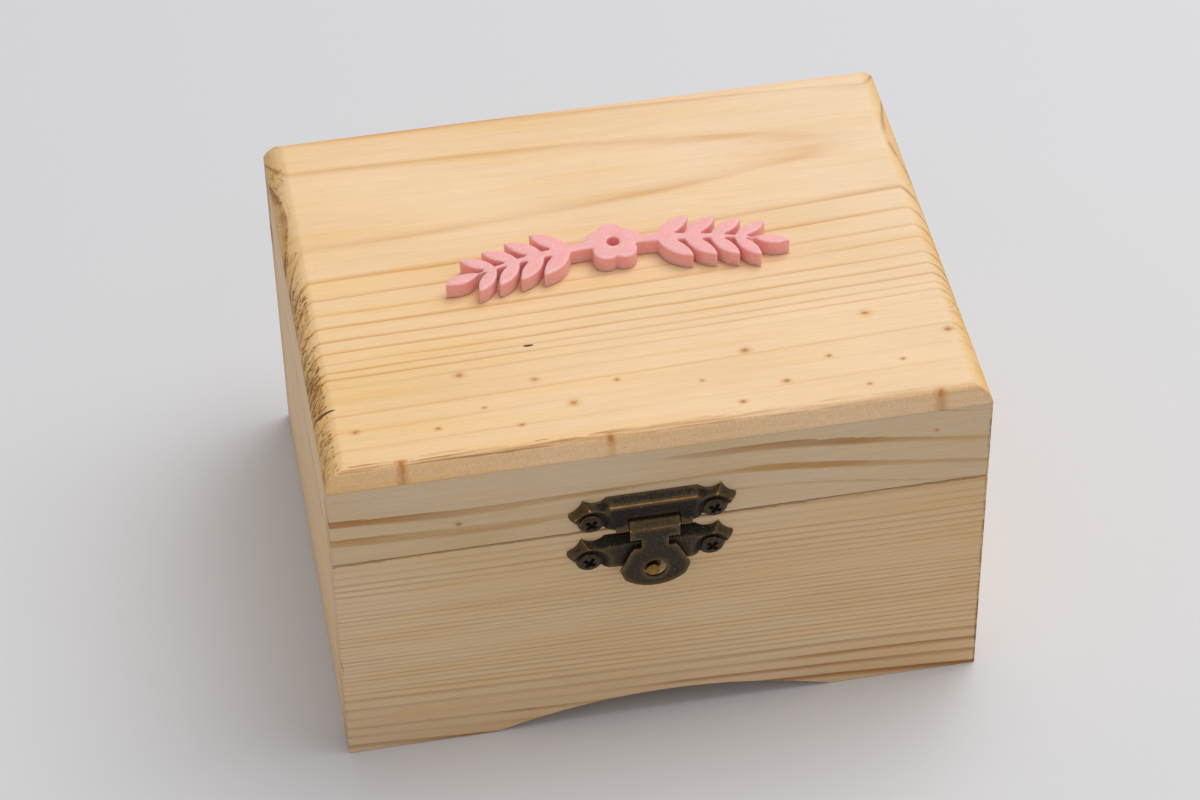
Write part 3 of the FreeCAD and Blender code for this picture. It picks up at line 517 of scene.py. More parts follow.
def pine(
    name, grain, pith, ring_ends, late_width, early, late, late_share=0.08, late_start=0.8, tip=0.0,
    lean=0.0, taper=(0.0, 0.0), core=0.0, wander=(1.6, 1.6), flow=(), drift=(1.0, 1.0, 1.0, 1.0), fade=None,
    heart=None, swells=(), broad=False, ochre=None, knots=(), knots_upright=False, knot_size=1.0, streaks=(),
    slits=(), torn=None,
):
    """Sanded pine sawn from a log: pale early wood and a darker line where each year ends.

    The log's centre runs along the grain at pith, leans a little and tapers from tip. ring_ends are where
    the years end, counted from core. A year's late wood is late_width and a late_share of the year, and
    darkens from late_start. fade is how far out the lines weaken and to what share, and heart is the redder
    colour within. wander is how far the rings stray across the board and up it, flow how far the grain rises
    along it, and drift how strong the colour is at each end and each edge. swells give the strength of single
    years along the board, broad lines are flat bands, and ochre is their other colour, below a height that
    climbs along the board. knots and slits are the places of pin knots and fine cracks on the upper face, or
    of knots on an upright one, and streaks those of twigs cut lengthwise on the front edge. torn is how
    rough the cutter left the left end and the right one, and how much calmer it is towards the corners.
    """
    made, tree, surface = material(name)
    board = board_space(tree, grain)
    radius = log_distance(board, pith, core, tip, lean, taper, wander, flow, broad)
    ring = year_lines(board, radius, ring_ends, late_width, late_share, late_start, fade, swells, broad)
    early, late = colour(early), colour(late)
    if heart:
        near = add(tree, RANGE, {
            "Value": radius, "From Min": fade[1], "From Max": fade[0], "To Max": HEART_SHARE,
        })
        early = add(tree, MIX, {"Factor": near, "A": early, "B": colour(heart)}, data_type="RGBA")
    if ochre:
        shade, height, climb = ochre
        level = add(tree, MATH, {0: board.along, 1: -climb, 2: board.z}, operation="MULTIPLY_ADD")
        level = add(tree, RANGE, {"Value": level, "From Min": height - 1, "From Max": height + 1})
        late = add(tree, MIX, {"Factor": level, "A": colour(shade), "B": late}, data_type="RGBA")
    tone = add(tree, MIX, {"Factor": ring, "A": early, "B": late}, data_type="RGBA")
    tone, bumps = silky(board, tone, drift)
    tone = marked(board, tone, knots, board.z if knots_upright else board.y, knot_size, streaks, slits)
    tone, end, grit = sawn_ends(board, tone, ring, torn)
    # Painted shade along the lid's seam, and dirt in the splinters at the corners.
    dirt_and_shade = grime_and_seam_shade(board, splintered=not torn)
    tone = add(tree, MIX, {"Factor": dirt_and_shade, "A": tone, "B": colour(GRIME_AND_SHADE_BROWN)}, data_type="RGBA")
    if torn:
        # Torn strokes: darker torn end grain, partly painted shade in the tears.
        tear_and_shade = torn_fibres(board, radius, torn)
        tone = add(tree, MIX, {"Factor": tear_and_shade, "A": tone, "B": colour(TORN_AND_SHADE_BROWN)}, data_type="RGBA")
        tone = sanded_edges(board, tone, end)
        bumps = add(tree, MATH, {0: tear_and_shade, 1: -0.5, 2: bumps}, operation="MULTIPLY_ADD")
        dirt_and_shade = add(tree, MATH, {0: dirt_and_shade, 1: tear_and_shade}, operation="MAXIMUM")
    for feature, height in ((ring, 0.25), (grit, 0.3)):
        bumps = add(tree, MATH, {0: feature, 1: height, 2: bumps}, operation="MULTIPLY_ADD")
    relief = add(tree, "ShaderNodeBump", {"Strength": 0.5, "Distance": 0.08 * MM, "Height": bumps})
    gloss = add(tree, RANGE, {"Value": dirt_and_shade, "To Min": 0.5, "To Max": 0.05})
    shader = add(tree, "ShaderNodeBsdfPrincipled", {
        "Base Color": tone, "Roughness": 0.62, "Specular IOR Level": gloss, "Normal": relief,
    })
    tree.links.new(shader.outputs[0], surface)
    return made


def dress(name, finish):
    """Gives a CAD node its finish."""
    nodes[name].data.materials.clear()
    nodes[name].data.materials.append(finish)


front_fine_rings = rings(FRONT_BROAD_RINGS[-1], FRONT_REACH, FRONT_NARROWEST, FRONT_WIDENING)
dress("front_wall", pine(
    "sanded_pine_front", "X", pith=FRONT_PITH, taper=(1.8, 0.0),
    ring_ends=FRONT_BROAD_RINGS[:-1] + front_fine_rings, late_width=0.05, late_share=0.4, late_start=0.66,
    early=FRONT_EARLY, late=FRONT_LATE, heart=FRONT_HEART, fade=FRONT_FADE, swells=FRONT_SWELLS,
    drift=(0.98, 1.06, 1.0, 1.0),
))

# Back wall of the box: the same pine, from nearer the outside of the log, so its lines are even.
BACK_EARLY = "#e9c89b"
BACK_LATE = "#cb9b62"
dress("back_wall", pine(
    "sanded_pine_back", "X", pith=(40.0, -38.0), taper=(-1.2, 0.0),
    ring_ends=rings(22.0, 110.0, (60.0, 1.8), 0.0008), late_width=1.3, early=BACK_EARLY, late=BACK_LATE,
))

# Side walls of the box: short boards between the front and the back, grain running from front to back,
# with weak and even lines. Their early wood is painted paler than the front's, for the light on the left
# face.
SIDE_EARLY_PAINTED_PALER = "#edc998"
SIDE_LATE = "#d9ad77"
SIDE_WALLS = (
    ("left", (-60.5, -40.0), (0.9, 0.0), (70.0, 1.9)), ("right", (63.5, -31.0), (-1.1, 0.0), (50.0, 2.1)),
)
for side, pith, taper, narrowest in SIDE_WALLS:
    dress(side + "_wall", pine(
        "sanded_pine_" + side, "Y", pith=pith, taper=taper, ring_ends=rings(20.0, 112.0, narrowest, 0.0006),
        late_width=1.2, early=SIDE_EARLY_PAINTED_PALER, late=SIDE_LATE,
    ))

# Base panel: thin three-ply birch in a groove near the foot of the walls. Its faces are peeled veneer
# with a watery figure, and its edges show the three plies.
PLY_FACE = "#e2c69d"
PLY_FIGURE = "#cda778"
PLY_CORE = "#b58a5c"
PLY_THICKNESS = 1.0
PLY_PATCH = (55.56, 7.692, 11.11)
plywood, tree, surface = material("birch_plywood")
coordinates = add(tree, "ShaderNodeTexCoord")
drawn = add(tree, "ShaderNodeMapping", {
    "Vector": coordinates.outputs["Object"], "Scale": [1 / (size * MM) for size in PLY_PATCH],
})
figure = add(tree, NOISE, {"Vector": drawn, "Scale": 1.0, "Detail": 4.0, "Distortion": 1.2})
tone = add(tree, MIX, {
    "Factor": figure.outputs["Fac"], "A": colour(PLY_FACE), "B": colour(PLY_FIGURE),
}, data_type="RGBA")
axes = add(tree, "ShaderNodeSeparateXYZ", {0: coordinates.outputs["Object"]})
above = add(tree, MATH, {0: axes.outputs["Z"], 1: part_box("base_panel")[0].z}, operation="SUBTRACT")
core = add(tree, MATH, {
    0: above, 1: 1.5 * PLY_THICKNESS * MM, 2: 0.5 * PLY_THICKNESS * MM,
}, operation="COMPARE")
tone = add(tree, MIX, {"Factor": core, "A": tone, "B": colour(PLY_CORE)}, data_type="RGBA")
relief = add(tree, "ShaderNodeBump", {"Strength": 0.3, "Distance": 0.1 * MM, "Height": figure.outputs["Fac"]})
shader = add(tree, "ShaderNodeBsdfPrincipled", {"Base Color": tone, "Roughness": 0.65, "Normal": relief})
tree.links.new(shader.outputs[0], surface)
dress("base_panel", plywood)

# Front rail of the lid: a narrow board of greyer pine whose few broad lines sink towards the right.
RAIL_EARLY = "#ddbf96"
RAIL_LATE = "#b07a3f"
RAIL_OCHRE = ("#bd8938", 72.9, 0.0625)
RAIL_FLOW = (
    (-75.0, 1.5), (-58.0, 0.6), (-45.0, 0.1), (-30.0, -0.1), (-14.0, 0.1), (8.0, 0.2),
    (22.0, 0.2), (30.0, -0.4), (40.0, -1.7), (52.0, -3.6), (64.0, -5.5), (75.0, -7.0),
)
RAIL_RINGS = [61.1, 68.2, 73.7, 80.5, 88.0]
RAIL_SWELLS = (
    (0, ((-75.0, 0.1), (75.0, 0.1))),
    (1, ((-75.0, 0.9), (-55.0, 0.95), (-37.0, 1.05), (-20.0, 0.6), (0.0, 0.35), (16.0, 0.3), (75.0, 0.4))),
    (2, (
        (-75.0, 0.8), (-45.0, 0.95), (-14.0, 0.6), (10.0, 0.4),
        (27.0, 0.8), (40.0, 0.85), (54.0, 0.65), (75.0, 0.55),
    )),
    (3, ((-75.0, 0.0), (-10.0, 0.0), (8.0, 0.75), (20.0, 0.95), (40.0, 0.85), (54.0, 0.6), (75.0, 0.5))),
    (4, ((-75.0, 0.0), (75.0, 0.0))),
)
RAIL_KNOTS = ((-44.7, 68.0), (60.2, 76.2))
dress("lid_front_rail", pine(
    "sanded_pine_rail", "X", pith=(-46.5, 0.0), flow=RAIL_FLOW, wander=(0.5, 0.7), ring_ends=RAIL_RINGS,
    late_width=2.1, early=RAIL_EARLY, late=RAIL_LATE, swells=RAIL_SWELLS, broad=True, ochre=RAIL_OCHRE,
    knots=RAIL_KNOTS, knots_upright=True, knot_size=0.7,
))

# Back rail of the lid: hidden in the photograph, taken from the same board as the front rail.
dress("lid_back_rail", pine(
    "sanded_pine_back_rail", "X", pith=(46.5, 4.0), taper=(3.5, 0.0), ring_ends=RAIL_RINGS, late_width=2.0,
    early=RAIL_EARLY, late=RAIL_LATE, broad=True,
))

# Side rails of the lid: short pieces between the front and back rails, grain from front to back, in the
# side walls' early wood, painted paler for the light on the left.
for name, x in (("lid_left_rail", -60.5), ("lid_right_rail", 62.0)):
    dress(name, pine(
        "sanded_pine_" + name, "Y", pith=(x, 30.0), taper=(0.7, 0.0),
        ring_ends=rings(20.0, 72.0, (40.0, 1.9), 0.001), late_width=1.2, early=SIDE_EARLY_PAINTED_PALER, late=SIDE_LATE,
    ))

# Lid board: a thin flat-sawn pine board with all four upper edges rounded over. The log's flame shows
# at the back, its fine lines in the middle, and rows of pin knots in the pale front. The cutter tore
# the fibres where it crossed their ends, at the left most of all.
LID_EARLY = "#eecb9d"
LID_LATE = "#d59a58"
LID_PITH = (30.5, 42.0)
LID_RINGS = [
    30.1, 34.5, 40.1, 44.1, 48.0, 51.1, 54.8, 57.8, 60.6, 62.9, 64.9, 67.4, 71.1, 75.1, 79.9, 85.2,
    93.4, 101.0,
]
LID_SWELLS = ((16, ((-75.0, 0.25), (75.0, 0.25))),)
LID_STREAKS = ((-56.0, 0.9, 0.6), (-11.0, 0.8, 0.3), (61.0, 1.2, 0.5))
LID_KNOTS = (
    (-39.8, -30.5), (-24.1, -34.9), (-6.6, -38.4), (11.3, -42.3), (22.3, -34.8), (29.2, -45.9),
    (39.8, -40.0), (55.3, -44.0), (67.2, -36.6), (-64.2, -43.8), (-46.7, -46.0), (-36.1, -41.5),
    (-16.9, -43.7), (18.6, -50.5), (-29.0, -48.3), (46.5, -50.3), (50.6, -28.0), (-56.0, -54.6),
    (-11.0, -55.0), (61.0, -55.0),
)
LID_SLITS = ((-23.6, -24.0, 1.3), (-69.7, -36.0, 2.4))
ROUND = 4.5
ROUND_CREASE = 15.0
FACET_LEAN = 18
CREST_RADIUS = 1.0
CREST_END = 70
EASE_RADIUS = 7.0
FACET_STEPS = 8
CREST_STEPS = 9
EASE_STEPS = 5
CREST_INNER = 0.6
LONG_STEPS = 110
SHORT_STEPS = 380
TORN_LEFT = 0.45
TORN_RIGHT = 0.16
TORN_PATCH = (9.0, 0.9, 2.0)
TORN_FADE_IN = 1 / 12
LID_SHARP = 25


def link(name, mesh, finish):
    """A new piece with that mesh and finish."""
    mesh.materials.clear()
    mesh.materials.append(finish)
    piece = bpy.data.objects.new(name, mesh)
    scene.collection.objects.link(piece)
    return piece


low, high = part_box("lid_top_board")
middle = (low + high) / 2
crease = math.radians(ROUND_CREASE)
radius = ROUND / (math.cos(crease) - math.sin(crease))


def side_inset(rise):
    """How far the rounded end is drawn in at a height above its foot: an arc with a crease at each end."""
    return radius * math.cos(crease) - math.sqrt(radius ** 2 - (rise + radius * math.sin(crease)) ** 2)


# Along the grain the profile is another: a steep sanded facet, a tight crest, an easy curve into the top
crest_rise = CREST_RADIUS * (math.sin(math.radians(CREST_END)) - math.sin(math.radians(FACET_LEAN)))
facet_rise = ROUND - crest_rise - EASE_RADIUS * (1 - math.sin(math.radians(CREST_END)))
profile = [
    (facet_rise * step / FACET_STEPS, facet_rise * step / FACET_STEPS * math.tan(math.radians(FACET_LEAN)))
    for step in range(FACET_STEPS + 1)
]
for bend, start, end, steps in (
    (CREST_RADIUS, FACET_LEAN, CREST_END, CREST_STEPS), (EASE_RADIUS, CREST_END, 90, EASE_STEPS),
):
    foot = profile[-1]
    for step in range(1, steps + 1):
        turn = math.radians(start + (end - start) * step / steps)
        profile.append((
            foot[0] + bend * (math.sin(turn) - math.sin(math.radians(start))),
            foot[1] + bend * (math.cos(math.radians(start)) - math.cos(turn)),
        ))
levels = [(0.0, 0.0, low.z, 0.0)]
for rise, inset in profile:
    levels.append((
        side_inset(min(rise, ROUND)) * MM, inset * MM, high.z - (ROUND - rise) * MM,
        math.sin(math.pi * rise / ROUND),
    ))
levels.append((levels[-1][0] + CREST_INNER * MM, levels[-1][1] + CREST_INNER * MM, high.z, 0.0))
form = bmesh.new()
loops = []
for x_inset, y_inset, z, cut in levels:
    x, y = high.x - middle.x - x_inset, high.y - middle.y - y_inset
    corners = [(-x, -y), (x, -y), (x, y), (-x, y)]
    loop = []
    for side, steps in enumerate((LONG_STEPS, SHORT_STEPS, LONG_STEPS, SHORT_STEPS)):
        (x0, y0), (x1, y1) = corners[side], corners[(side + 1) % 4]
        tearing = {1: TORN_RIGHT, 3: TORN_LEFT}.get(side, 0.0) * MM
        for step in range(steps):
            share = step / steps
            spot = Vector((x0 + (x1 - x0) * share, y0 + (y1 - y0) * share, z))
            rag = noise.fractal([spot[axis] / (TORN_PATCH[axis] * MM) for axis in range(3)], 0.6, 2.0, 3)
            calm = min(1.0, share / TORN_FADE_IN, (1 - share) / TORN_FADE_IN)
            spot.x -= math.copysign(tearing * cut * calm * max(0.0, rag), spot.x)
            loop.append(form.verts.new((spot.x + middle.x, spot.y + middle.y, z)))
    loops.append(loop)
form.faces.new(list(reversed(loops[0])))
form.faces.new(loops[-1])
for lower, upper in zip(loops, loops[1:]):
    for index in range(len(lower)):
        after = (index + 1) % len(lower)
        form.faces.new((lower[index], lower[after], upper[after], upper[index]))
for face in form.faces:
    face.smooth = True
mesh = bpy.data.meshes.new("lid_board")
form.to_mesh(mesh)
form.free()
mesh.set_sharp_from_angle(angle=math.radians(LID_SHARP))
lid_core = math.sqrt((high.z / MM - LID_PITH[1]) ** 2 - LID_RINGS[1] ** 2)
lid_pine = pine(
    "sanded_pine_lid", "X", pith=LID_PITH, core=lid_core, tip=56.6, lean=0.011, taper=(2.533, 0.0073),
    wander=(1.6, 0.5), ring_ends=LID_RINGS, late_width=0.5, early=LID_EARLY, late=LID_LATE,
    fade=(64.4, 68.0, 0.4), swells=LID_SWELLS, knots=LID_KNOTS, streaks=LID_STREAKS, slits=LID_SLITS,
    drift=(1.12, 0.95, 1.03, 0.92), torn=(0.03, -0.06, -0.09),
)
piece = link("lid_board", mesh, lid_pine)
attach(piece, "lid")
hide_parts("lid_top_board")

# Latch plates: two stamped brass plates with a sloped upper face, ears at the ends and sunk lobes for the
# screws. Their antique finish is nearly black, rubbed back to brass along the ridges and rims, and painted
# darker where shade falls on the catch plate under the tongue.
PATINA_DARK = "#15110c"
PATINA = "#393127"
PATINA_GOLD = "#5e4b30"
RUBBED = "#c4965a"
DUST_AND_GLINT = "#cfc7b8"
PLATE_GRID = 0.14
PLATE_ROUNDS = 5
WELD = 0.001
WEAR_TURNS = (("worn", 3), ("raised", 30))
DISH_RADIUS = 2.9
DISH_BRIM = 4.7
DISH_DEPTH = 1.4
# Boxes in millimetres where a plate is rubbed brighter, and how much. The negative ones paint shade: on the
# catch plate's slope, the tongue's shadow and a painted reflection of the lid plate's dark underside; on the
# lid plate's face below the ridge, partly dark patina and partly painted shade near the slot.
PLATE_RUBS_AND_SHADE = (
    ((-11.0, -60.0, 60.5), (-8.3, -58.9, 61.5), 0.2), ((3.3, -60.0, 60.5), (6.0, -58.9, 61.5), 0.2),
    ((-17.0, -59.2, 68.2), (12.0, -58.3, 68.6), 0.09), ((-20.0, -58.6, 68.7), (16.0, -56.6, 70.0), 0.002),
    ((-12.0, -59.0, 61.6), (7.0, -58.4, 67.6), -0.016), ((-15.5, -58.5, 57.1), (10.0, -56.3, 59.0), -0.06),
    ((-17.0, -59.2, 49.0), (11.0, -58.5, 56.8), 0.006),
    ((-22.0, -60.0, 50.0), (-14.5, -56.0, 72.0), 0.014), ((9.5, -60.0, 50.0), (17.0, -56.0, 72.0), 0.014),
)


def remeshed(name, grid):
    """A copy of a CAD node in millimetres, its surface cut into even cells of that size."""
    form = bmesh.new()
    form.from_mesh(nodes[name].data)
    bmesh.ops.remove_doubles(form, verts=form.verts, dist=WELD * MM)
    bmesh.ops.scale(form, verts=form.verts, vec=Vector((1, 1, 1)) / MM)
    mesh = bpy.data.meshes.new(name + "_form")
    form.to_mesh(mesh)
    form.free()
    shape = bpy.data.objects.new(name + "_form", mesh)
    scene.collection.objects.link(shape)
    remesh = shape.modifiers.new("remesh", "REMESH")
    remesh.mode, remesh.voxel_size = "VOXEL", grid
    made = bpy.data.meshes.new_from_object(shape.evaluated_get(bpy.context.evaluated_depsgraph_get()))
    bpy.data.objects.remove(shape)
    bpy.data.meshes.remove(mesh)
    return made


def softened(name, grid, rounds, rubs_and_shade=(), dishes=()):
    """A copy of a CAD node with its edges rounded, and how far each point stands out.

    "worn" is that at the scale of an edge and "raised" at the scale of a ridge, and both take in the rub
    boxes.
    These are in millimetres, where more has rubbed off and how much more; a negative amount paints shade in
    its box.
    dishes are places pressed in round the screws.
    """
    made = remeshed(name, grid)
    spots, ends = np.empty(3 * len(made.vertices)), np.empty(2 * len(made.edges), dtype=int)
    made.vertices.foreach_get("co", spots)
    made.edges.foreach_get("vertices", ends)
    spots, ends = spots.reshape(-1, 3), ends.reshape(-1, 2)
    here, there = np.concatenate((ends, ends[:, ::-1])).T
    number = np.bincount(here)

    def around(values):
        """The mean of each point's neighbours."""
        columns = values.reshape(len(number), -1).T
        totals = [np.bincount(here, weights=column[there]) for column in columns]
        return (np.array(totals) / number).T.reshape(values.shape)

    for x, y, z in dishes:
        out = np.hypot(spots[:, 0] - x, spots[:, 2] - z)
        slope = (out - DISH_RADIUS) / (DISH_BRIM - DISH_RADIUS)
        pressed = np.maximum(spots[:, 1], y - DISH_DEPTH * np.maximum(slope, 0))
        spots[:, 1] = np.where(slope < 1, pressed, spots[:, 1])
    for turn in range(rounds):
        spots = (spots + around(spots)) / 2
    made.vertices.foreach_set("co", spots.ravel())
    made.update()
    sides = np.empty(spots.size)
    made.vertices.foreach_get("normal", sides)
    stands_out = np.sum((spots - around(spots)) * sides.reshape(-1, 3), axis=1) / grid
    for corner, opposite, amount in rubs_and_shade:
        stands_out += amount * np.all((spots >= corner) & (spots <= opposite), axis=1)
    for attribute, turns in WEAR_TURNS:
        for turn in range(turns):
            stands_out = around(stands_out)
        values = made.attributes.new(attribute, "FLOAT", "POINT").data
        values.foreach_set("value", stands_out.astype(np.float32))
    made.transform(Matrix.Scale(MM, 4))
    made.shade_smooth()
    return made


# Antique brass: dark mottled patina, brass where an edge is rubbed, a few pale specks, partly dust and partly
# painted glints
antique_brass, tree, surface = material("antique_brass")
coordinates = add(tree, "ShaderNodeTexCoord")
worn = add(tree, "ShaderNodeAttribute", attribute_name="worn")
mottle = add(tree, NOISE, {
    "Vector": coordinates.outputs["Object"], "Scale": 1.5 / MM, "Detail": 5.0, "Roughness": 0.72,
})
blotch = add(tree, NOISE, {
    "Vector": coordinates.outputs["Object"], "Scale": 0.22 / MM, "Detail": 2.0,
})
rub = worn.outputs["Fac"]
for stain, share in ((blotch, 0.09), (mottle, 0.11)):
    rub = add(tree, MATH, {0: stain.outputs["Fac"], 1: share, 2: rub}, operation="MULTIPLY_ADD")
rub = add(tree, RANGE, {"Value": rub, "From Min": 0.155, "From Max": 0.23})
# On the latch plates, raised also carries the painted shade of the negative rub boxes.
raised = add(tree, "ShaderNodeAttribute", attribute_name="raised")
lift = add(tree, RANGE, {
    "Value": raised.outputs["Fac"], "From Min": -0.006, "From Max": 0.05, "To Min": -0.2, "To Max": 0.8,
})
lift = add(tree, MATH, {0: mottle.outputs["Fac"], 1: 1.3, 2: lift}, operation="MULTIPLY_ADD")
tone = add(tree, "ShaderNodeValToRGB", {"Fac": lift})
stops = tone.color_ramp.elements
stops[0].position, stops[0].color = 0.3, colour(PATINA_DARK)
stops[1].position, stops[1].color = 1.0, colour(PATINA_GOLD)
stops.new(0.66).color = colour(PATINA)
tone = add(tree, MIX, {
    "Factor": rub, "A": tone.outputs["Color"], "B": colour(RUBBED),
}, data_type="RGBA")
# Pale specks: partly dust, partly painted glints of the light.
speck = add(tree, "ShaderNodeTexVoronoi", {"Vector": coordinates.outputs["Object"], "Scale": 0.55 / MM})
speck = add(tree, RANGE, {
    "Value": speck.outputs["Distance"], "From Min": 0.06, "From Max": 0.04, "To Max": 0.7,
})
tone = add(tree, MIX, {"Factor": speck, "A": tone, "B": colour(DUST_AND_GLINT)}, data_type="RGBA")
shine = add(tree, RANGE, {"Value": rub, "To Min": 0.5, "To Max": 0.3})
metal = add(tree, RANGE, {"Value": rub, "To Min": 0.72, "To Max": 1.0})
relief = add(tree, "ShaderNodeBump", {"Strength": 0.9, "Distance": 0.1 * MM, "Height": mottle.outputs["Fac"]})
shader = add(tree, "ShaderNodeBsdfPrincipled", {
    "Base Color": tone, "Roughness": shine, "Metallic": metal, "Normal": relief,
})
tree.links.new(shader.outputs[0], surface)

for name, screws, body in (
    ("latch_lid_plate", "latch_lid_screws", "lid"), ("latch_catch_plate", "latch_catch_screws", "box"),
):
    low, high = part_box(screws)
    head = (high.z - low.z) / 2
    floor = low.y + DISH_DEPTH * MM
    dishes = [Vector((x, floor, low.z + head)) / MM for x in (low.x + head, high.x - head)]
    mesh = softened(name, PLATE_GRID, PLATE_ROUNDS, PLATE_RUBS_AND_SHADE, dishes)
    piece = link(name + "_stamped", mesh, antique_brass)
    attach(piece, body)
    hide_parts(name)

# Latch tongue: a bent sheet of the same brass that hangs from the pin in the lid's plate. Its knuckle
# is rolled, and the hole in its fan drops over the stud.
TONGUE_GRID = 0.13
TONGUE_ROUNDS = 4
TONGUE_RUBS = (
    ((-9.0, -61.0, 61.7), (4.0, -59.5, 62.0), 0.11), ((-20.0, -70.0, 40.0), (20.0, -50.0, 70.0), 0.006),
)
piece = link("tongue_sheet", softened("latch_tongue", TONGUE_GRID, TONGUE_ROUNDS, TONGUE_RUBS), antique_brass)
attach(piece, "latch_tongue")
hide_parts("latch_tongue")

# Latch pin: a short wire that the tongue turns on, its ends pressed into the plate's bosses.
PIN_GRID = 0.12
PIN_ROUNDS = 2
piece = link("latch_wire", softened("latch_pin", PIN_GRID, PIN_ROUNDS), antique_brass)
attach(piece, "lid")
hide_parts("latch_pin")

# Catch stud: a turned brass peg, riveted through the lower plate and polished by the tongue.
STUD_BRASS = "#b38a4a"
STUD_DULL = "#5f4824"
STUD_GRID = 0.1
STUD_ROUNDS = 4
stud_brass, tree, surface = material("turned_brass")
coordinates = add(tree, "ShaderNodeTexCoord")
scuff = add(tree, NOISE, {
    "Vector": coordinates.outputs["Object"], "Scale": 0.8 / MM, "Detail": 3.0,
})
tone = add(tree, MIX, {
    "Factor": scuff.outputs["Fac"], "A": colour(STUD_DULL), "B": colour(STUD_BRASS),
}, data_type="RGBA")
relief = add(tree, "ShaderNodeBump", {"Strength": 0.3, "Distance": 0.05 * MM, "Height": scuff.outputs["Fac"]})
shader = add(tree, "ShaderNodeBsdfPrincipled", {
    "Base Color": tone, "Metallic": 1.0, "Roughness": 0.36, "Normal": relief,
})
tree.links.new(shader.outputs[0], surface)
piece = link("stud_peg", softened("latch_catch_stud", STUD_GRID, STUD_ROUNDS), stud_brass)
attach(piece, "box")
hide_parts("latch_catch_stud")

# Screws: small cross-headed wood screws, blackened like the latch. The latch's have domed heads and the
# hinges' have flat ones. No two were driven to the same angle.
SCREW_SEGMENTS = 72
SCREW_RINGS = 24
CROSS_WIDTH = 0.95
CROSS_LENGTH_SHARE = 0.62
CROSS_DEPTH = 0.9
CROSS_DRAFT = 0.22
CROSS_WORN = -0.1
CROSS_RAISED = -0.05
HEAD_CURVE = 2.4
HEAD_PLAY = 0.3
HEAD_RAISED = 0.012
RIM_WORN = 0.08
RIM_CURVE = 9
RIM_DEPTH = 0.5
SHANK_RADIUS = 1.1
TIP_RADIUS = 0.1
TIP_LENGTH = 0.7
SCREW_SINK = 0.5
SCREW_SHARP = 50


def screw(name, radius, length, crown):
    """A screw with its head's top at the origin, pointing down, and its worn edges in "worn"."""
    form = bmesh.new()
    stands_out, lifted = form.verts.layers.float.new("worn"), form.verts.layers.float.new("raised")
    loops = []
    for ring in range(1, SCREW_RINGS + 1):
        loop = []
        for segment in range(SCREW_SEGMENTS):
            out, turn = radius * ring / SCREW_RINGS, math.tau * segment / SCREW_SEGMENTS
            x, y = out * math.cos(turn), out * math.sin(turn)
            near, far = sorted((abs(x), abs(y)))
            into = min(CROSS_WIDTH / 2 - near, CROSS_LENGTH_SHARE * radius - far) / CROSS_DRAFT
            sink = CROSS_DEPTH * min(1.0, max(0.0, into)) * (1 - 0.5 * far / radius)
            vert = form.verts.new((x, y, -crown * (out / radius) ** HEAD_CURVE - sink))
            vert[stands_out] = CROSS_WORN if into > 0 else RIM_WORN * (out / radius) ** RIM_CURVE
            vert[lifted] = CROSS_RAISED if into > 0 else HEAD_RAISED
            loop.append(vert)
        loops.append(loop)
    under = -crown - RIM_DEPTH
    for out, z in (
        (radius, under), (SHANK_RADIUS, under), (SHANK_RADIUS, TIP_LENGTH - length), (TIP_RADIUS, -length),
    ):
        loops.append([
            form.verts.new((out * vert.co.x / radius, out * vert.co.y / radius, z))
            for vert in loops[SCREW_RINGS - 1]
        ])
    centre = form.verts.new((0, 0, -CROSS_DEPTH))
    for index in range(SCREW_SEGMENTS):
        after = (index + 1) % SCREW_SEGMENTS
        form.faces.new((centre, loops[0][index], loops[0][after]))
        for inner, outer in zip(loops, loops[1:]):
            form.faces.new((inner[index], outer[index], outer[after], inner[after]))
    form.faces.new(list(reversed(loops[-1])))
    bmesh.ops.recalc_face_normals(form, faces=form.faces)
    bmesh.ops.scale(form, verts=form.verts, vec=Vector((MM, MM, MM)))
    for face in form.faces:
        face.smooth = True
    mesh = bpy.data.meshes.new(name)
    form.to_mesh(mesh)
    form.free()
    mesh.set_sharp_from_angle(angle=math.radians(SCREW_SHARP))
    return bpy.data.objects.new(name, mesh)


# Geometry Nodes: one screw at each point, turned by the point's own angle and tilted to face outwards
driver = bpy.data.node_groups.new("screws_at_points", "GeometryNodeTree")
driver.interface.new_socket("Points", in_out="INPUT", socket_type="NodeSocketGeometry")
screw_socket = driver.interface.new_socket("Screw", in_out="INPUT", socket_type="NodeSocketObject").identifier
tilt_socket = driver.interface.new_socket("Tilt", in_out="INPUT", socket_type="NodeSocketFloat").identifier
finish_socket = driver.interface.new_socket(
    "Finish", in_out="INPUT", socket_type="NodeSocketMaterial",
).identifier
driver.interface.new_socket("Screws", in_out="OUTPUT", socket_type="NodeSocketGeometry")
given = add(driver, "NodeGroupInput")
turn = add(driver, "GeometryNodeInputNamedAttribute", {"Name": "turn"}, data_type="FLOAT")
facing = add(driver, "ShaderNodeCombineXYZ", {"X": given.outputs["Tilt"], "Y": turn})
source = add(driver, "GeometryNodeObjectInfo", {"Object": given.outputs["Screw"]})
placed = add(driver, "GeometryNodeInstanceOnPoints", {
    "Points": given.outputs["Points"], "Instance": source.outputs["Geometry"], "Rotation": facing,
})
real = add(driver, "GeometryNodeRealizeInstances", {"Geometry": placed})
finished = add(driver, "GeometryNodeSetMaterial", {"Geometry": real, "Material": given.outputs["Finish"]})
add(driver, "NodeGroupOutput", {"Screws": finished})


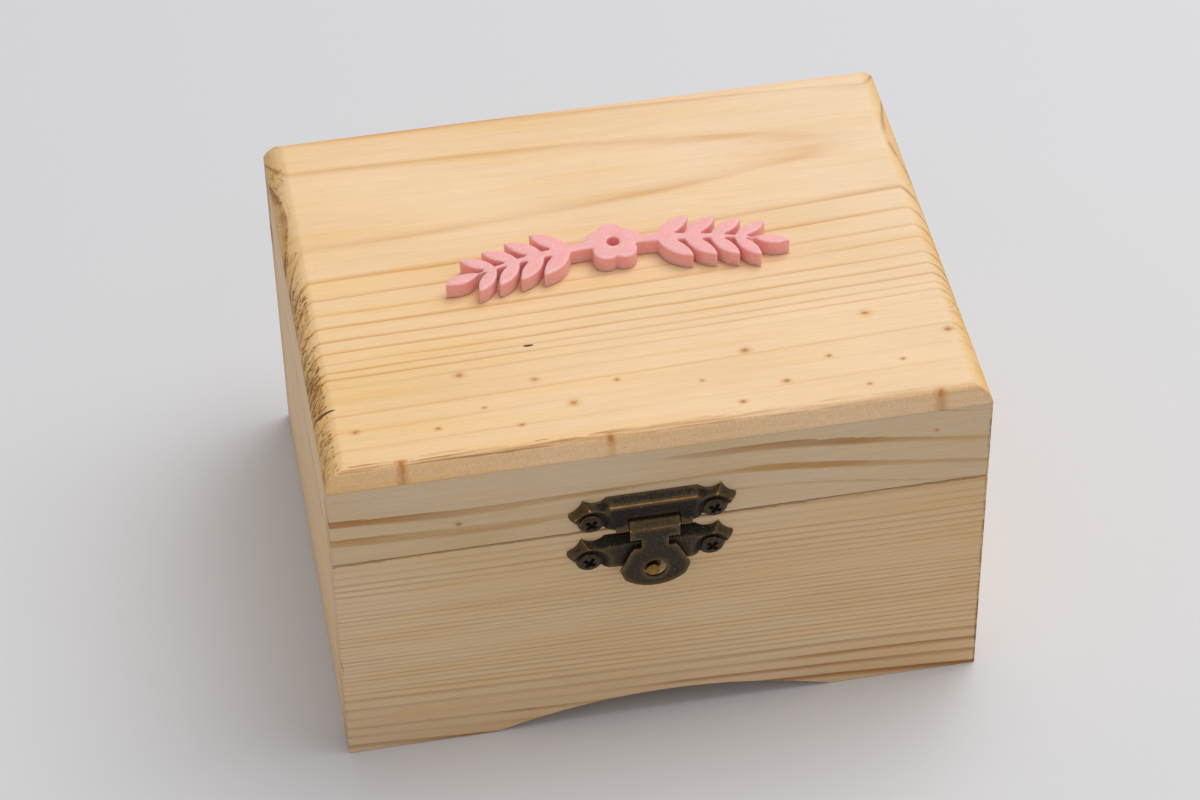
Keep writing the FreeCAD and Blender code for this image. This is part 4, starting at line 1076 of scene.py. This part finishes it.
def drive(node, body, kind, places, turns, tilt):
    """One body's screws of one kind, at those places."""
    mesh = bpy.data.meshes.new(node)
    mesh.from_pydata(places, [], [])
    mesh.attributes.new("turn", "FLOAT", "POINT").data.foreach_set("value", turns)
    points = bpy.data.objects.new(node, mesh)
    scene.collection.objects.link(points)
    modifier = points.modifiers.new("screws", "NODES")
    modifier.node_group = driver
    modifier[screw_socket], modifier[tilt_socket] = kind, math.radians(tilt)
    modifier[finish_socket] = antique_brass
    made = bpy.data.meshes.new_from_object(points.evaluated_get(bpy.context.evaluated_depsgraph_get()))
    bpy.data.objects.remove(points)
    piece = link(node + "_driven", made, antique_brass)
    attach(piece, body)
    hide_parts(node)


low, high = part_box("latch_lid_screws")
head = (high.z - low.z) / 2
domed = screw("domed_screw", head / MM - HEAD_PLAY, (high.y - low.y) / MM - SCREW_SINK, crown=0.5)
for node, body, turns in (
    ("latch_lid_screws", "lid", (0.75, 0.5)), ("latch_catch_screws", "box", (0.62, 0.85)),
):
    low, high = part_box(node)
    z = (low.z + high.z) / 2
    y = low.y + SCREW_SINK * MM
    drive(node, body, domed, [(low.x + head, y, z), (high.x - head, y, z)], turns, tilt=90)

low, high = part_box("hinge_box_screws")
head = (high.z - low.z) / 2
flat = screw("flat_screw", head / MM, (high.y - low.y) / MM, crown=0.08)
leaf_low, leaf_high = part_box("hinge_left_box_leaf")
for node, body, turns in (
    ("hinge_box_screws", "box", (0.2, 0.9, 0.5, 1.2)), ("hinge_lid_screws", "lid", (0.7, 0.1, 1.0, 0.4)),
):
    low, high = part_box(node)
    z = (low.z + high.z) / 2
    inset = low.x + head - leaf_low.x
    left = (leaf_low.x + inset, leaf_high.x - inset)
    drive(node, body, flat, [(x, high.y, z) for x in (*left, -left[1], -left[0])], turns, tilt=-90)

# Hinges: two small butt hinges screwed to the back, with rolled knuckles on a wire pin, in the same
# antique brass as the latch.
HINGE_GRID = 0.2
HINGE_ROUNDS = 3
for side in ("left", "right"):
    for part, body in (("box_leaf", "box"), ("lid_leaf", "lid"), ("pin", "box")):
        name = "hinge_" + side + "_" + part
        piece = link(name + "_brass", softened(name, HINGE_GRID, HINGE_ROUNDS), antique_brass)
        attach(piece, body)
        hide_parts(name)

# Lid ornament: a flat leafy sprig, cut from pink glitter resin and glued to the lid.
PINK = "#f8bcb8"
PINK_DEEP = "#f4a9a6"
PINK_GLINT = "#ffe4e0"
FLECK = 0.32
ORNAMENT_GRID = 0.22
ORNAMENT_ROUNDS = 5
pink_resin, tree, surface = material("pink_glitter_resin")
coordinates = add(tree, "ShaderNodeTexCoord")
fleck = add(tree, "ShaderNodeTexVoronoi", {
    "Vector": coordinates.outputs["Object"], "Scale": 1 / (FLECK * MM),
})
pick = add(tree, "ShaderNodeSeparateColor", {"Color": fleck.outputs["Color"]})
cloud = add(tree, NOISE, {
    "Vector": coordinates.outputs["Object"], "Scale": 0.25 / MM, "Detail": 2.0,
})
tone = add(tree, MIX, {
    "Factor": cloud.outputs["Fac"], "A": colour(PINK_DEEP), "B": colour(PINK),
}, data_type="RGBA")
glint = add(tree, RANGE, {
    "Value": pick.outputs["Red"], "From Min": 0.86, "From Max": 1.0, "To Max": 0.4,
})
tone = add(tree, MIX, {"Factor": glint, "A": tone, "B": colour(PINK_GLINT)}, data_type="RGBA")
relief = add(tree, "ShaderNodeBump", {
    "Strength": 0.4, "Distance": 0.08 * MM, "Height": pick.outputs["Green"],
})
shader = add(tree, "ShaderNodeBsdfPrincipled", {
    "Base Color": tone, "Roughness": 0.38, "Normal": relief, "Subsurface Weight": 0.8,
    "Subsurface Radius": (1.3, 0.55, 0.45), "Subsurface Scale": 2.4 * MM,
})
tree.links.new(shader.outputs[0], surface)
piece = link("sprig", softened("lid_ornament", ORNAMENT_GRID, ORNAMENT_ROUNDS), pink_resin)
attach(piece, "lid")
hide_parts("lid_ornament")
